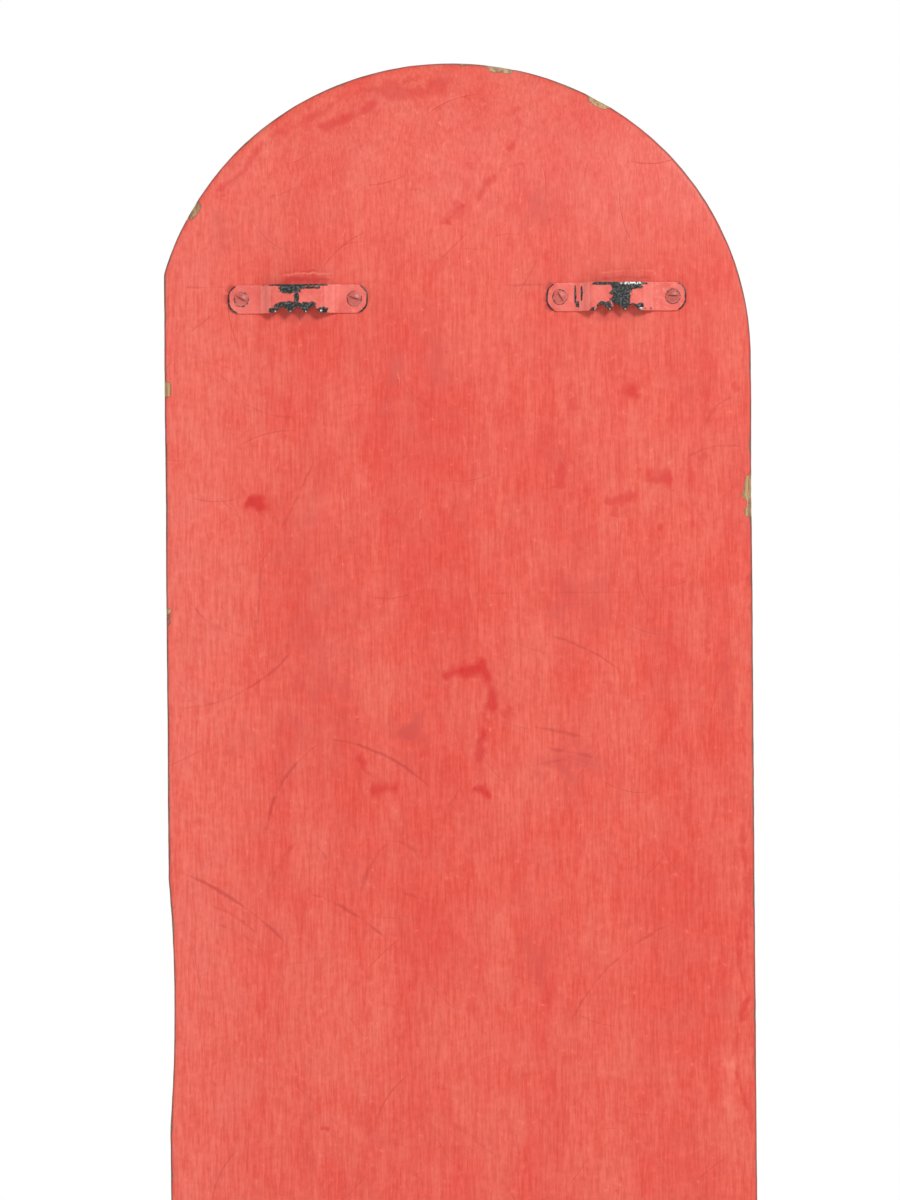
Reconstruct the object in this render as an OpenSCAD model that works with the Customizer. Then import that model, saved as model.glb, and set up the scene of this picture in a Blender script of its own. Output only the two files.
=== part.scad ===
// One-plank wooden toboggan, stored upright on two wall hangers that are
// screwed to its running face.
//
// Frame: +Z up towards the nose, +Y away from the wall towards the deck side,
// +X along the width. The origin lies on the wall plane, midway between the
// hangers, level with the tops of their notches, where the wall hooks bear.

/* [Plank] */
// Overall length from the tip of the nose to the tail
plank_l = 1220; // [1200:10:1400]
// Width of the plank
plank_w = 286; // [270:1:300]
// Thickness of the plank
plank_t = 16; // [15:0.5:22]
// How much the nose radius exceeds half of the plank's width; the arc meets the
// right edge smoothly and the left edge at a slight corner
nose_extra = 3; // [0:0.5:6]
// Radius of the two tail corners
tail_corner_r = 20; // [5:1:40]
// Length of the upturned nose, measured down from the tip
bend_l = 108; // [80:1:109]
// Radius of the deck face in the upturned nose
bend_r = 300; // [260:10:600]

/* [Edge hollow] */
// Distance from the tip down to the middle of the hollow in the left edge
hollow_drop = 459; // [380:1:560]
// Length of the hollow along the edge
hollow_l = 120; // [80:5:160]
// Greatest depth of the hollow
hollow_depth = 2.5; // [1:0.5:4]

/* [Battens] */
// Length of a batten across the deck
batten_l = 260; // [256:1:266]
// Width of a batten along the deck
batten_w = 38; // [30:1:44]
// Height of a batten above the deck
batten_t = 20; // [18:1:26]
// Radius along the two top edges of a batten
batten_edge_r = 4; // [1:0.5:6]
// Radius of a batten's corners, seen from above
batten_end_r = 6; // [2:1:12]
// Distance from the tip down to the middle of the nose batten
nose_batten_drop = 140; // [132:1:150]
// Distance from one batten to the next
batten_pitch = 340; // [280:5:345]

/* [Rope holes] */
// Diameter of the holes for the side ropes
rope_hole_d = 9; // [6:0.5:11]
// Distance between the two rows of rope holes
rope_span = 230; // [220:1:234]
// Height of the rope holes above the deck
rope_hole_h = 10; // [8:0.5:11]

/* [Wall hangers] */
// Distance between the middles of the two hangers
hanger_span = 155; // [140:1:180]
// Distance from the tip down to the middle of the hanger straps
hanger_drop = 117; // [116:1:130]
// Length of a hanger strap
strap_l = 68; // [66:1:72]
// Width of a hanger strap
strap_w = 14; // [12:0.5:18]
// Thickness of the strap steel
strap_t = 1.2; // [1:0.1:2]
// Clear height under the raised middle of a strap
arch_h = 5; // [4.6:0.1:6]
// Length of the raised flat in the middle of a strap
arch_flat_l = 26; // [24:1:28]
// Length of each sloping ramp, along the strap
ramp_l = 5; // [3:0.5:6]
// Distance from one notch to the next
notch_pitch = 7.4; // [7.2:0.1:8]
// Depth of a notch
notch_depth = 3; // [2:0.1:3.2]
// Distance between the two screws of a hanger
hanger_screw_span = 55; // [54:0.5:56]

/* [Screws] */
// Shank diameter of every screw
shank_d = 4; // [3.5:0.1:4.2]
// Length of a batten screw, head included
batten_screw_l = 32; // [26:1:32]
// Distance between the screws of a batten
batten_screw_pitch = 95; // [60:1:96]
// Head diameter of a countersunk batten screw
flat_head_d = 8.1; // [7.2:0.1:8.2]
// Length of a hanger screw under its head
hanger_screw_l = 12.7; // [10:0.1:14]
// Head diameter of a hanger screw
oval_head_d = 7.6; // [7:0.1:8]
// Height of a hanger screw's domed head
oval_head_h = 1.9; // [1.6:0.1:2.4]
// Width of the screwdriver slots
slot_w = 1.1; // [0.8:0.1:1.4]
// Depth of the screwdriver slots
slot_depth = 0.9; // [0.6:0.1:1]

/* [Hidden] */
$fn = 96;
// Facets of the widest arcs
WIDE_FN = 720;
// Allowance that carries a cut past the face it opens
CUT = 1;
RIGHT_ANGLE = 90;

PAINT = [0.92, 0.40, 0.35];
PAINTED_STEEL = [0.85, 0.32, 0.28];

BATTENS = ["nose", "front", "rear", "tail"];
BATTEN_SCREWS = ["left", "middle", "right"];
HANGERS = ["left", "right"];
HANGER_SCREWS = ["outer", "inner"];

EACH_BATTEN = [0 : len(BATTENS) - 1];
EACH_BATTEN_SCREW = [0 : len(BATTEN_SCREWS) - 1];
EACH_HANGER = [0 : len(HANGERS) - 1];
EACH_HANGER_SCREW = [0 : len(HANGER_SCREWS) - 1];

// Side of each hanger along X, and of each of its screws counted outwards
HANGER_SIDES = [-1, 1];
HANGER_SCREW_SIDES = [1, -1];
// Turn of each hanger screw's slot: outer and inner, left hanger then right
HANGER_SLOT_TURNS = [[-30, -18], [-3, -60]];
// Turn of the batten screws' slots from one screw to the next
SLOT_STEP = 37;
// Places of a hanger's notches, counted from its middle
NOTCHES = [-1, 0, 1];

// Levels along Y
wall_y = 0;
strap_y = wall_y + arch_h;
running_y = strap_y + strap_t;
deck_y = running_y + plank_t;
batten_top_y = deck_y + batten_t;

// Levels along Z, from the tops of the notches
strap_low_z = -notch_depth;
strap_z = strap_low_z + strap_w / 2;
tip_z = strap_z + hanger_drop;
tail_z = tip_z - plank_l;
bend_z = tip_z - bend_l;
nose_r = plank_w / 2 + nose_extra;
nose_z = tip_z - nose_r;
nose_x = -nose_extra;
hollow_z = tip_z - hollow_drop;
hollow_r = (hollow_l * hollow_l / 4 + hollow_depth * hollow_depth) / (2 * hollow_depth);

// Radii of the screw holes in the straps, in the battens and in the plank
strap_hole_r = shank_d / 2 + 0.3;
batten_hole_r = shank_d / 2 + 0.2;
pilot_r = shank_d / 2 + 0.1;
// How much deeper a pilot hole is than the screw in it
pilot_extra = 0.5;

// A batten screw's head lies this far below the batten's top
head_recess = 0.3;
flat_head_h = flat_head_d / 2 - shank_d / 2 + 0.25;
sink_h = head_recess + flat_head_h;
sink_r = flat_head_d / 2 + 0.3;

// Length of a screw's point, and the diameter of its blunt end
point_l = 4;
point_d = 0.8;

// Radius of a strap's four corners, and of the cutter that makes a notch
strap_end_r = strap_w * 0.42;
notch_r = notch_depth + 0.4;

// Height of a batten screw's top, and where its point ends
flat_head_y = batten_top_y - head_recess;
batten_pilot_y = flat_head_y - batten_screw_l - pilot_extra;
hanger_pilot_y = strap_y + hanger_screw_l + pilot_extra;

// Radius of the sphere that a hanger screw's head is cut from
dome_r = (oval_head_d * oval_head_d / 4 + oval_head_h * oval_head_h) / (2 * oval_head_h);

function batten_z(i) = tip_z - nose_batten_drop - batten_pitch * i;
function batten_screw_x(k) = batten_screw_pitch * (k - 1);
function hanger_x(h) = HANGER_SIDES[h] * hanger_span / 2;
function hanger_screw_x(h, s) =
    hanger_x(h) + HANGER_SIDES[h] * HANGER_SCREW_SIDES[s] * hanger_screw_span / 2;

function batten_node(i) = str("batten_", BATTENS[i]);
function batten_screw_node(i, k) = str("batten_screw_", BATTENS[i], "_", BATTEN_SCREWS[k]);
function hanger_node(h) = str("hanger_", HANGERS[h]);
function hanger_screw_node(h, s) = str("hanger_screw_", HANGERS[h], "_", HANGER_SCREWS[s]);

// Extrudes an outline, drawn as X and Z, from one level along Y to another
module slab(y0, y1) {
    translate([0, y1, 0])
        rotate([RIGHT_ANGLE, 0, 0])
            linear_extrude(y1 - y0)
                children();
}

// Extrudes a section, drawn as Y and Z, across the width and past both edges
module across(length) {
    translate([-length / 2, 0, 0])
        rotate([RIGHT_ANGLE, 0, RIGHT_ANGLE])
            linear_extrude(length)
                children();
}

// Turns a shape built along +Z so that it stands along +Y
module along_y() {
    rotate([-RIGHT_ANGLE, 0, 0])
        children();
}

// Rectangle from corner to corner with all four corners rounded by arcs
module rounded_rect(x0, z0, x1, z1, r) {
    union() {
        translate([x0 + r, z0])
            square([x1 - x0 - 2 * r, z1 - z0]);
        translate([x0, z0 + r])
            square([x1 - x0, z1 - z0 - 2 * r]);
        for (x = [x0 + r, x1 - r], z = [z0 + r, z1 - r])
            translate([x, z])
                circle(r);
    }
}

// Outline of the plank seen square on: round nose, straight sides, rounded tail
module plank_outline() {
    difference() {
        union() {
            intersection() {
                translate([nose_x, nose_z])
                    circle(nose_r, $fn = WIDE_FN);
                translate([-plank_w / 2, nose_z])
                    square([plank_w, nose_r + CUT]);
            }
            translate([-plank_w / 2, nose_z - 2 * tail_corner_r])
                square([plank_w, 2 * tail_corner_r]);
            rounded_rect(-plank_w / 2, tail_z, plank_w / 2, nose_z, tail_corner_r);
        }
        translate([-plank_w / 2 + hollow_depth - hollow_r, hollow_z])
            circle(hollow_r, $fn = WIDE_FN);
    }
}

// Section of the plank along its length: flat, then curved up at the nose
module plank_section() {
    union() {
        translate([running_y, tail_z - CUT])
            square([plank_t, bend_z - tail_z + CUT]);
        intersection() {
            difference() {
                translate([deck_y + bend_r, bend_z])
                    circle(bend_r + plank_t, $fn = WIDE_FN);
                translate([deck_y + bend_r, bend_z])
                    circle(bend_r, $fn = WIDE_FN);
            }
            translate([running_y - CUT, bend_z])
                square([bend_r, bend_l + CUT]);
        }
    }
}

// Blind holes in the plank for every screw that bites into it
module plank_pilots() {
    for (i = EACH_BATTEN, k = EACH_BATTEN_SCREW)
        translate([batten_screw_x(k), batten_pilot_y, batten_z(i)])
            along_y()
                cylinder(r = pilot_r, h = deck_y - batten_pilot_y + CUT);
    for (h = EACH_HANGER, s = EACH_HANGER_SCREW)
        translate([hanger_screw_x(h, s), running_y - CUT, strap_z])
            along_y()
                cylinder(r = pilot_r, h = hanger_pilot_y - running_y + CUT);
}

module plank() {
    color(PAINT)
        difference() {
            intersection() {
                slab(running_y - CUT, deck_y + bend_r)
                    plank_outline();
                across(plank_w + 2 * CUT)
                    plank_section();
            }
            plank_pilots();
        }
}

// Batten lying across the deck, with its two rope holes and three screw holes
module batten(i) {
    z = batten_z(i);
    color(PAINT)
        difference() {
            intersection() {
                slab(deck_y, batten_top_y + CUT)
                    batten_plan(z);
                across(batten_l)
                    batten_section(z);
            }
            for (x = [-rope_span / 2, rope_span / 2])
                translate([x, deck_y + rope_hole_h, z - batten_w / 2 - CUT])
                    cylinder(d = rope_hole_d, h = batten_w + 2 * CUT);
            for (k = EACH_BATTEN_SCREW)
                translate([batten_screw_x(k), deck_y, z])
                    along_y()
                        countersunk_hole();
        }
}

// Outline of a batten seen square on to the deck
module batten_plan(z) {
    half_l = batten_l / 2;
    half_w = batten_w / 2;
    rounded_rect(-half_l, z - half_w, half_l, z + half_w, batten_end_r);
}

// Section of a batten with its two top edges rounded
module batten_section(z) {
    union() {
        translate([deck_y, z - batten_w / 2])
            square([batten_t - batten_edge_r, batten_w]);
        rounded_rect(deck_y, z - batten_w / 2, batten_top_y, z + batten_w / 2, batten_edge_r);
    }
}

// Screw hole up through a batten, from its underside to a conical sink on top
module countersunk_hole() {
    translate([0, 0, -CUT])
        cylinder(r = batten_hole_r, h = batten_t + 2 * CUT);
    translate([0, 0, batten_t - sink_h])
        cylinder(r1 = batten_hole_r, r2 = sink_r, h = sink_h);
    translate([0, 0, batten_t])
        cylinder(r = sink_r, h = CUT);
}

// Plain shank with a point, from z = 0 down to z = -length
module shank(length) {
    translate([0, 0, point_l - length])
        cylinder(d = shank_d, h = length - point_l);
    translate([0, 0, -length])
        cylinder(d1 = point_d, d2 = shank_d, h = point_l);
}

// Screwdriver slot across a head whose top is at z = 0
module slot(turn, head_d) {
    rotate([0, 0, turn])
        translate([-head_d, -slot_w / 2, -slot_depth])
            cube([2 * head_d, slot_w, slot_depth + CUT]);
}

// Countersunk screw that holds batten i to the plank
module batten_screw(i, k) {
    color(PAINTED_STEEL)
        translate([batten_screw_x(k), flat_head_y, batten_z(i)])
            along_y()
                difference() {
                    union() {
                        translate([0, 0, -flat_head_h])
                            cylinder(d1 = shank_d, d2 = flat_head_d, h = flat_head_h);
                        translate([0, 0, -flat_head_h])
                            shank(batten_screw_l - flat_head_h);
                    }
                    slot(SLOT_STEP * (len(BATTEN_SCREWS) * i + k), flat_head_d);
                }
}

// Section of a hanger strap, drawn as X and Y: two feet and a raised middle
module strap_section() {
    half = arch_flat_l / 2;
    foot = half + ramp_l;
    end = strap_l / 2;
    polygon([
        [-end, running_y],
        [-end, strap_y],
        [-foot, strap_y],
        [-half, wall_y],
        [half, wall_y],
        [foot, strap_y],
        [end, strap_y],
        [end, running_y],
        [foot - strap_t / 2, running_y],
        [half - strap_t / 2, wall_y + strap_t],
        [strap_t / 2 - half, wall_y + strap_t],
        [strap_t / 2 - foot, running_y]
    ]);
}

// Outline of a hanger strap seen square on, with its ends rounded
module strap_plan() {
    rounded_rect(-strap_l / 2, strap_low_z, strap_l / 2, strap_low_z + strap_w, strap_end_r);
}

// Sawtooth wall hanger: arched strap with three notches in its lower edge
module hanger(h) {
    color(PAINTED_STEEL)
        translate([hanger_x(h), 0, 0])
            difference() {
                intersection() {
                    translate([0, 0, strap_low_z])
                        linear_extrude(strap_w)
                            strap_section();
                    slab(wall_y - CUT, running_y + CUT)
                        strap_plan();
                }
                for (n = NOTCHES)
                    translate([n * notch_pitch, wall_y - CUT, -notch_r])
                        along_y()
                            cylinder(r = notch_r, h = strap_t + 2 * CUT);
                for (x = [-hanger_screw_span / 2, hanger_screw_span / 2])
                    translate([x, strap_y - CUT, strap_z])
                        along_y()
                            cylinder(r = strap_hole_r, h = strap_t + 2 * CUT);
            }
}

// Domed head of a hanger screw, standing on z = 0
module oval_head() {
    intersection() {
        translate([0, 0, oval_head_h - dome_r])
            sphere(dome_r);
        cylinder(d = oval_head_d + CUT, h = oval_head_h + CUT);
    }
}

// Domed screw that holds hanger h to the running face
module hanger_screw(h, s) {
    color(PAINTED_STEEL)
        translate([hanger_screw_x(h, s), strap_y, strap_z])
            rotate([RIGHT_ANGLE, 0, 0])
                difference() {
                    union() {
                        oval_head();
                        shank(hanger_screw_l);
                    }
                    translate([0, 0, oval_head_h])
                        slot(HANGER_SLOT_TURNS[h][s], oval_head_d);
                }
}

plank();
for (i = EACH_BATTEN)
    batten(i);
for (i = EACH_BATTEN, k = EACH_BATTEN_SCREW)
    batten_screw(i, k);
for (h = EACH_HANGER)
    hanger(h);
for (h = EACH_HANGER, s = EACH_HANGER_SCREW)
    hanger_screw(h, s);
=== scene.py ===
"""Looks of a one-plank wooden toboggan: its plank, four deck battens, two sawtooth wall hangers and screws.

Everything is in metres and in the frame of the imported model: +X to the right of the running face, +Y from
the running face to the deck, +Z from the tail to the round nose.  Marks and worn spots are in millimetres.
"""
import functools
import logging
import math
import random
from dataclasses import dataclass, replace
from enum import Enum

import bmesh
import bpy
import numpy as np
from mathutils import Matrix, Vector, noise
from mathutils.geometry import delaunay_2d_cdt


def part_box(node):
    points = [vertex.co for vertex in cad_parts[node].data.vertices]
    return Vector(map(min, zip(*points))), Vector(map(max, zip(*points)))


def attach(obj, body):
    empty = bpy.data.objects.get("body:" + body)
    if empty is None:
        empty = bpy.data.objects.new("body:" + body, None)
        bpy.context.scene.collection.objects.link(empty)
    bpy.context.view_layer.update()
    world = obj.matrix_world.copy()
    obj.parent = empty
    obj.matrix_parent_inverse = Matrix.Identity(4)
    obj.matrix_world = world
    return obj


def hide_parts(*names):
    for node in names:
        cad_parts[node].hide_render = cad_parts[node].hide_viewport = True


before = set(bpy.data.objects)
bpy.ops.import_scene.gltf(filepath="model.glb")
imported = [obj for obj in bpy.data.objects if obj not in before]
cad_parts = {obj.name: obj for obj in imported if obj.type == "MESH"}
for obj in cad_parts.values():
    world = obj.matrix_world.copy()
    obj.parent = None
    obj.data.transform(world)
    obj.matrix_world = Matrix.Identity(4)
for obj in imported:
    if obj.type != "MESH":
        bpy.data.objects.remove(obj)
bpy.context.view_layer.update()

MM = 0.001
BODY = "root"
LOG = logging.getLogger("toboggan")

Colour = tuple[float, float, float]
Mesh = bpy.types.Mesh
Piece = bpy.types.Object
Tree = bpy.types.NodeTree
Socket = bpy.types.NodeSocket
Sockets = bpy.types.bpy_prop_collection
Feed = Socket | float | int | tuple | bool


# ---- node writing ------------------------------------------------


class NodeBoard:
    """Writes nodes and links on one node tree."""

    def __init__(self, tree: Tree) -> None:
        """Keeps the tree to write on."""
        self.tree = tree

    def feed(self, socket: Socket, value: Feed) -> None:
        """Links or sets one input.

        Args:
            socket: the input socket.
            value: an output socket to link from, or a plain value; a colour may leave out its alpha.
        """
        if isinstance(value, Socket):
            self.tree.links.new(value, socket)
        elif socket.type == "RGBA" and len(value) == 3:
            socket.default_value = (*value, 1.0)
        else:
            socket.default_value = value

    def add(self, kind: str, feeds: dict[str | int, Feed] | None = None, **settings: object) -> Sockets:
        """Adds one node.

        Args:
            kind: the node's type name.
            feeds: input values or links, by the input's name or number.
            settings: properties of the node itself.

        Returns:
            The new node's outputs.
        """
        node = self.tree.nodes.new(kind)
        for name, value in settings.items():
            setattr(node, name, value)
        for key, value in (feeds or {}).items():
            self.feed(node.inputs[key], value)
        return node.outputs

    def maths(self, operation: str, *feeds: Feed, clamp: bool = False) -> Socket:
        """Adds a Math node.

        Args:
            operation: the Math node's operation.
            feeds: its operands in order.
            clamp: whether the result is held between 0 and 1.

        Returns:
            The result's socket.
        """
        return self.add("ShaderNodeMath", dict(enumerate(feeds)), operation=operation, use_clamp=clamp)[0]

    def times(self, first: Feed, second: Feed) -> Socket:
        """Multiplies two numbers."""
        return self.maths("MULTIPLY", first, second)

    def times_plus(self, first: Feed, second: Feed, more: Feed) -> Socket:
        """Multiplies two numbers and adds a third."""
        return self.maths("MULTIPLY_ADD", first, second, more)

    def vectors(self, operation: str, *feeds: Feed) -> Socket:
        """Adds a Vector Math node whose result is a vector."""
        return self.add("ShaderNodeVectorMath", dict(enumerate(feeds)), operation=operation)[0]

    def scaled(self, vector: Feed, scale: Feed) -> Socket:
        """Scales a vector."""
        return self.add("ShaderNodeVectorMath", {0: vector, "Scale": scale}, operation="SCALE")[0]

    def split(self, vector: Feed) -> Sockets:
        """Splits a vector into the sockets X, Y and Z."""
        return self.add("ShaderNodeSeparateXYZ", {"Vector": vector})

    def join(self, **parts: Feed) -> Socket:
        """Joins X, Y and Z into a vector."""
        return self.add("ShaderNodeCombineXYZ", parts)[0]

    def stored(self, name: str, output: str = "Fac") -> Socket:
        """Reads an attribute of the mesh in a shader."""
        return self.add("ShaderNodeAttribute", attribute_name=name)[output]

    def ramp(self, value: Feed, low: Feed, high: Feed, start: Feed = 0.0, end: Feed = 1.0) -> Socket:
        """Adds a smooth clamped Map Range.

        Args:
            value: what is mapped.
            low: the value that gives start.
            high: the value that gives end.
            start: the result at low.
            end: the result at high.

        Returns:
            The result's socket.
        """
        feeds = {"Value": value, "From Min": low, "From Max": high, "To Min": start, "To Max": end}
        return self.add("ShaderNodeMapRange", feeds, interpolation_type="SMOOTHSTEP")[0]

    def blend(self, factor: Feed, first: Feed, second: Feed, mode: str = "MIX") -> Socket:
        """Adds a colour Mix node.

        Args:
            factor: how much of the second colour shows.
            first: the colour at factor 0.
            second: the colour at factor 1.
            mode: the Mix node's blend mode.

        Returns:
            The mixed colour's socket.
        """
        node = self.tree.nodes.new("ShaderNodeMix")
        node.data_type = "RGBA"
        node.blend_type = mode
        named = {socket.identifier: socket for socket in node.inputs}
        self.feed(named["Factor_Float"], factor)
        self.feed(named["A_Color"], first)
        self.feed(named["B_Color"], second)
        return next(socket for socket in node.outputs if socket.identifier == "Result_Color")

    def noise(self, vector: Feed, scale: Feed, detail: float = 2.0, roughness: float = 0.5) -> Socket:
        """Adds a Noise Texture.

        Args:
            vector: where it is read.
            scale: how many lumps there are in a metre.
            detail: how many finer layers it has.
            roughness: how strong the finer layers are.

        Returns:
            The noise's socket, around 0.5.
        """
        feeds = {"Vector": vector, "Scale": scale, "Detail": detail, "Roughness": roughness}
        return self.add("ShaderNodeTexNoise", feeds)[0]

    def effect(self, group: Tree, **feeds: Feed) -> Sockets:
        """Places a shared node group.

        Args:
            group: the node group.
            feeds: its inputs by name.

        Returns:
            The group's outputs.
        """
        return self.add("ShaderNodeGroup", feeds, node_tree=group)


FLOAT = "NodeSocketFloat"
VECTOR = "NodeSocketVector"
COLOUR = "NodeSocketColor"
GEOMETRY = "NodeSocketGeometry"
MATERIAL = "NodeSocketMaterial"


def new_tree(
    name: str, kind: str, inputs: dict[str, str], outputs: dict[str, str]
) -> tuple[NodeBoard, Sockets, Sockets]:
    """Starts a node group with named sockets.

    Args:
        name: the group's name.
        kind: "ShaderNodeTree" or "GeometryNodeTree".
        inputs: socket types by input name.
        outputs: socket types by output name.

    Returns:
        A board on the group, the sockets that give its inputs and the sockets that take its outputs.
    """
    tree = bpy.data.node_groups.new(name, kind)
    for label, socket_type in inputs.items():
        tree.interface.new_socket(name=label, in_out="INPUT", socket_type=socket_type)
    for label, socket_type in outputs.items():
        tree.interface.new_socket(name=label, in_out="OUTPUT", socket_type=socket_type)
    board = NodeBoard(tree)
    return board, board.add("NodeGroupInput"), tree.nodes.new("NodeGroupOutput").inputs


def new_material(name: str) -> tuple[bpy.types.Material, NodeBoard, bpy.types.Node, Socket]:
    """Starts a material.

    Args:
        name: its name.

    Returns:
        The material, a board on its tree, its shader and the Object coordinates.
    """
    made = bpy.data.materials.new(name)
    made.use_nodes = True
    board = NodeBoard(made.node_tree)
    place = board.add("ShaderNodeTexCoord")["Object"]
    return made, board, made.node_tree.nodes["Principled BSDF"], place


# ---- shared effects ----------------------------------------------


@functools.cache
def brush_grain() -> Tree:
    """Fine lengthwise streaks that a brush and the wood's grain leave in the enamel.

    Returns:
        The group: Vector has its long way along Z, Pitch is a streak's width, Run is its length.
    """
    board, given, result = new_tree(
        "brush_grain", "ShaderNodeTree", {"Vector": VECTOR, "Pitch": FLOAT, "Run": FLOAT}, {"Streak": FLOAT}
    )
    across = board.maths("DIVIDE", 1.0, given["Pitch"])
    along = board.maths("DIVIDE", 1.0, given["Run"])
    stretch = board.join(X=across, Y=across, Z=along)
    fitted = board.vectors("MULTIPLY", given["Vector"], stretch)
    board.feed(result["Streak"], board.noise(fitted, 1.0, detail=3.0, roughness=0.72))
    return board.tree


@functools.cache
def mottle() -> Tree:
    """Large soft patches where the enamel is thinner, thicker or rubbed.

    Returns:
        The group: Vector in metres, Size is a patch's width, Patch runs from 0 to 1 and Speck is fine noise.
    """
    specks_in_a_patch = 22.0
    board, given, result = new_tree(
        "mottle", "ShaderNodeTree", {"Vector": VECTOR, "Size": FLOAT}, {"Patch": FLOAT, "Speck": FLOAT}
    )
    scale = board.maths("DIVIDE", 1.0, given["Size"])
    patch = board.noise(given["Vector"], scale, detail=5.0, roughness=0.70)
    fine = board.times(scale, specks_in_a_patch)
    speck = board.noise(given["Vector"], fine, detail=3.0, roughness=0.7)
    board.feed(result["Patch"], board.ramp(patch, 0.3, 0.7))
    board.feed(result["Speck"], speck)
    return board.tree


@functools.cache
def stroke() -> Tree:
    """One bowed mark with tapering ends, in a frame where it runs from -1 to 1.

    Returns:
        The group: Along and Across place a point, Bow is how far the mark's middle stands across, Width its
        half width, Blunt squares its ends, and Crisp is how fast its side fades, per unit of distance.
    """
    sockets = {"Along": FLOAT, "Across": FLOAT, "Bow": FLOAT, "Width": FLOAT, "Blunt": FLOAT, "Crisp": FLOAT}
    board, given, result = new_tree("stroke", "ShaderNodeTree", sockets, {"Mask": FLOAT})
    square = board.times(given["Along"], given["Along"])
    arch = board.maths("SUBTRACT", 1.0, square, clamp=True)
    centre = board.times(arch, given["Bow"])
    away = board.maths("ABSOLUTE", board.maths("SUBTRACT", given["Across"], centre))
    body = board.maths("MULTIPLY", arch, given["Blunt"], clamp=True)
    spare = board.maths("SUBTRACT", board.times(body, given["Width"]), away)
    board.feed(result["Mask"], board.maths("MULTIPLY", spare, given["Crisp"], clamp=True))
    return board.tree


@functools.cache
def stray_scratches() -> Tree:
    """Short scratches strewn over a face, one for each cell of a grid, some of them left out.

    Returns:
        The group: Vector is flat, in millimetres; Turn is the scratches' direction, Cell their spacing and
        Share the part of the cells that holds one.
    """
    sockets = {"Vector": VECTOR, "Turn": FLOAT, "Cell": FLOAT, "Share": FLOAT}
    board, given, result = new_tree("stray_scratches", "ShaderNodeTree", sockets, {"Mask": FLOAT})

    def turned(vector: Feed, angle: Feed) -> Socket:
        """Turns a flat vector."""
        feeds = {"Vector": vector, "Angle": angle}
        return board.add("ShaderNodeVectorRotate", feeds, rotation_type="Z_AXIS")[0]

    laid = turned(given["Vector"], given["Turn"])
    cells = board.scaled(laid, board.maths("DIVIDE", 1.0, given["Cell"]))
    nearest = board.add("ShaderNodeTexVoronoi", {"Vector": cells, "Scale": 1.0}, voronoi_dimensions="2D")
    apart = board.vectors("SUBTRACT", cells, nearest["Position"])
    chance = board.split(nearest["Color"])
    tilted = turned(apart, board.times_plus(chance["Y"], 1.6, -0.8))
    spot = board.split(board.scaled(tilted, board.times_plus(chance["Z"], 3.0, 2.4)))
    bow = board.times_plus(chance["Z"], 0.5, -0.25)
    line = board.effect(
        stroke(), Along=spot["X"], Across=spot["Y"], Bow=bow, Width=0.028, Blunt=1.5, Crisp=45.0
    )
    kept = board.maths("LESS_THAN", chance["X"], given["Share"])
    board.feed(result["Mask"], board.times(line["Mask"], kept))
    return board.tree


@functools.cache
def edge_wear() -> Tree:
    """Where the coat is gone, with a ragged border and a darker rim of dirt round it.

    Returns:
        The group: Wear is the piece's own wear from 0 to 1, Vector in metres, Size the raggedness in metres
        and Reach how much wear it takes to lose the coat.
    """
    sockets = {"Wear": FLOAT, "Vector": VECTOR, "Size": FLOAT, "Reach": FLOAT}
    board, given, result = new_tree("edge_wear", "ShaderNodeTree", sockets, {"Bare": FLOAT, "Rim": FLOAT})
    scale = board.maths("DIVIDE", 1.0, given["Size"])
    coarse = board.noise(given["Vector"], scale, detail=4.0, roughness=0.66)
    swing = board.times_plus(coarse, 1.5, -0.75)
    level = board.maths("ADD", given["Wear"], swing)
    past = board.maths("SUBTRACT", level, given["Reach"])
    board.feed(result["Bare"], board.ramp(past, 0.0, 0.05))
    rim = board.times(board.ramp(past, -0.16, 0.0), board.ramp(past, 0.12, 0.02))
    board.feed(result["Rim"], rim)
    return board.tree


@functools.cache
def bare_wood() -> Tree:
    """Raw dry wood with fibres and growth lines.

    Returns:
        The group: Vector in metres with the grain along Z, Light and Dark are the wood's colours.
    """
    sockets = {"Vector": VECTOR, "Light": COLOUR, "Dark": COLOUR}
    board, given, result = new_tree(
        "bare_wood", "ShaderNodeTree", sockets, {"Color": COLOUR, "Fibre": FLOAT}
    )
    rings = board.effect(brush_grain(), Vector=given["Vector"], Pitch=0.0030, Run=0.07)
    grain = rings[0]
    tone = board.ramp(grain, 0.36, 0.62)
    board.feed(result["Color"], board.blend(tone, given["Dark"], given["Light"]))
    board.feed(result["Fibre"], grain)
    return board.tree


@functools.cache
def dust() -> Tree:
    """Dust that settles on what faces up and a little everywhere.

    Returns:
        The group: Vector in metres; Dust runs from 0 to 1.
    """
    board, given, result = new_tree("dust", "ShaderNodeTree", {"Vector": VECTOR}, {"Dust": FLOAT})
    facing = board.split(board.add("ShaderNodeNewGeometry")["Normal"])
    cloud = board.noise(given["Vector"], 60.0, roughness=0.6)
    up = board.ramp(facing["Z"], 0.2, 1.0, 0.04, 0.26)
    board.feed(result["Dust"], board.times(up, board.ramp(cloud, 0.35, 0.7)))
    return board.tree


# ---- marks on the face -------------------------------------------


class MarkKind(Enum):
    """What left a mark on the running face."""

    SMEAR = "smear"
    SCRATCH = "scratch"
    RUB = "rub"
    SHADE = "shade"


@dataclass(frozen=True)
class Mark:
    """One mark on the running face, in millimetres across (X) and along (Z).

    Bow is how far its middle stands to the left of the way from start to end.
    """

    kind: MarkKind
    start: tuple[float, float]
    end: tuple[float, float]
    bow: float = 0.0
    width: float = 0.5
    strength: float = 1.0


SMEAR, SCRATCH, RUB, SHADE = MarkKind
NOSE_RADIUS = 146.0
NOSE_MIDDLE = (-3.0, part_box("plank")[1][2] / MM - NOSE_RADIUS)


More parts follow.
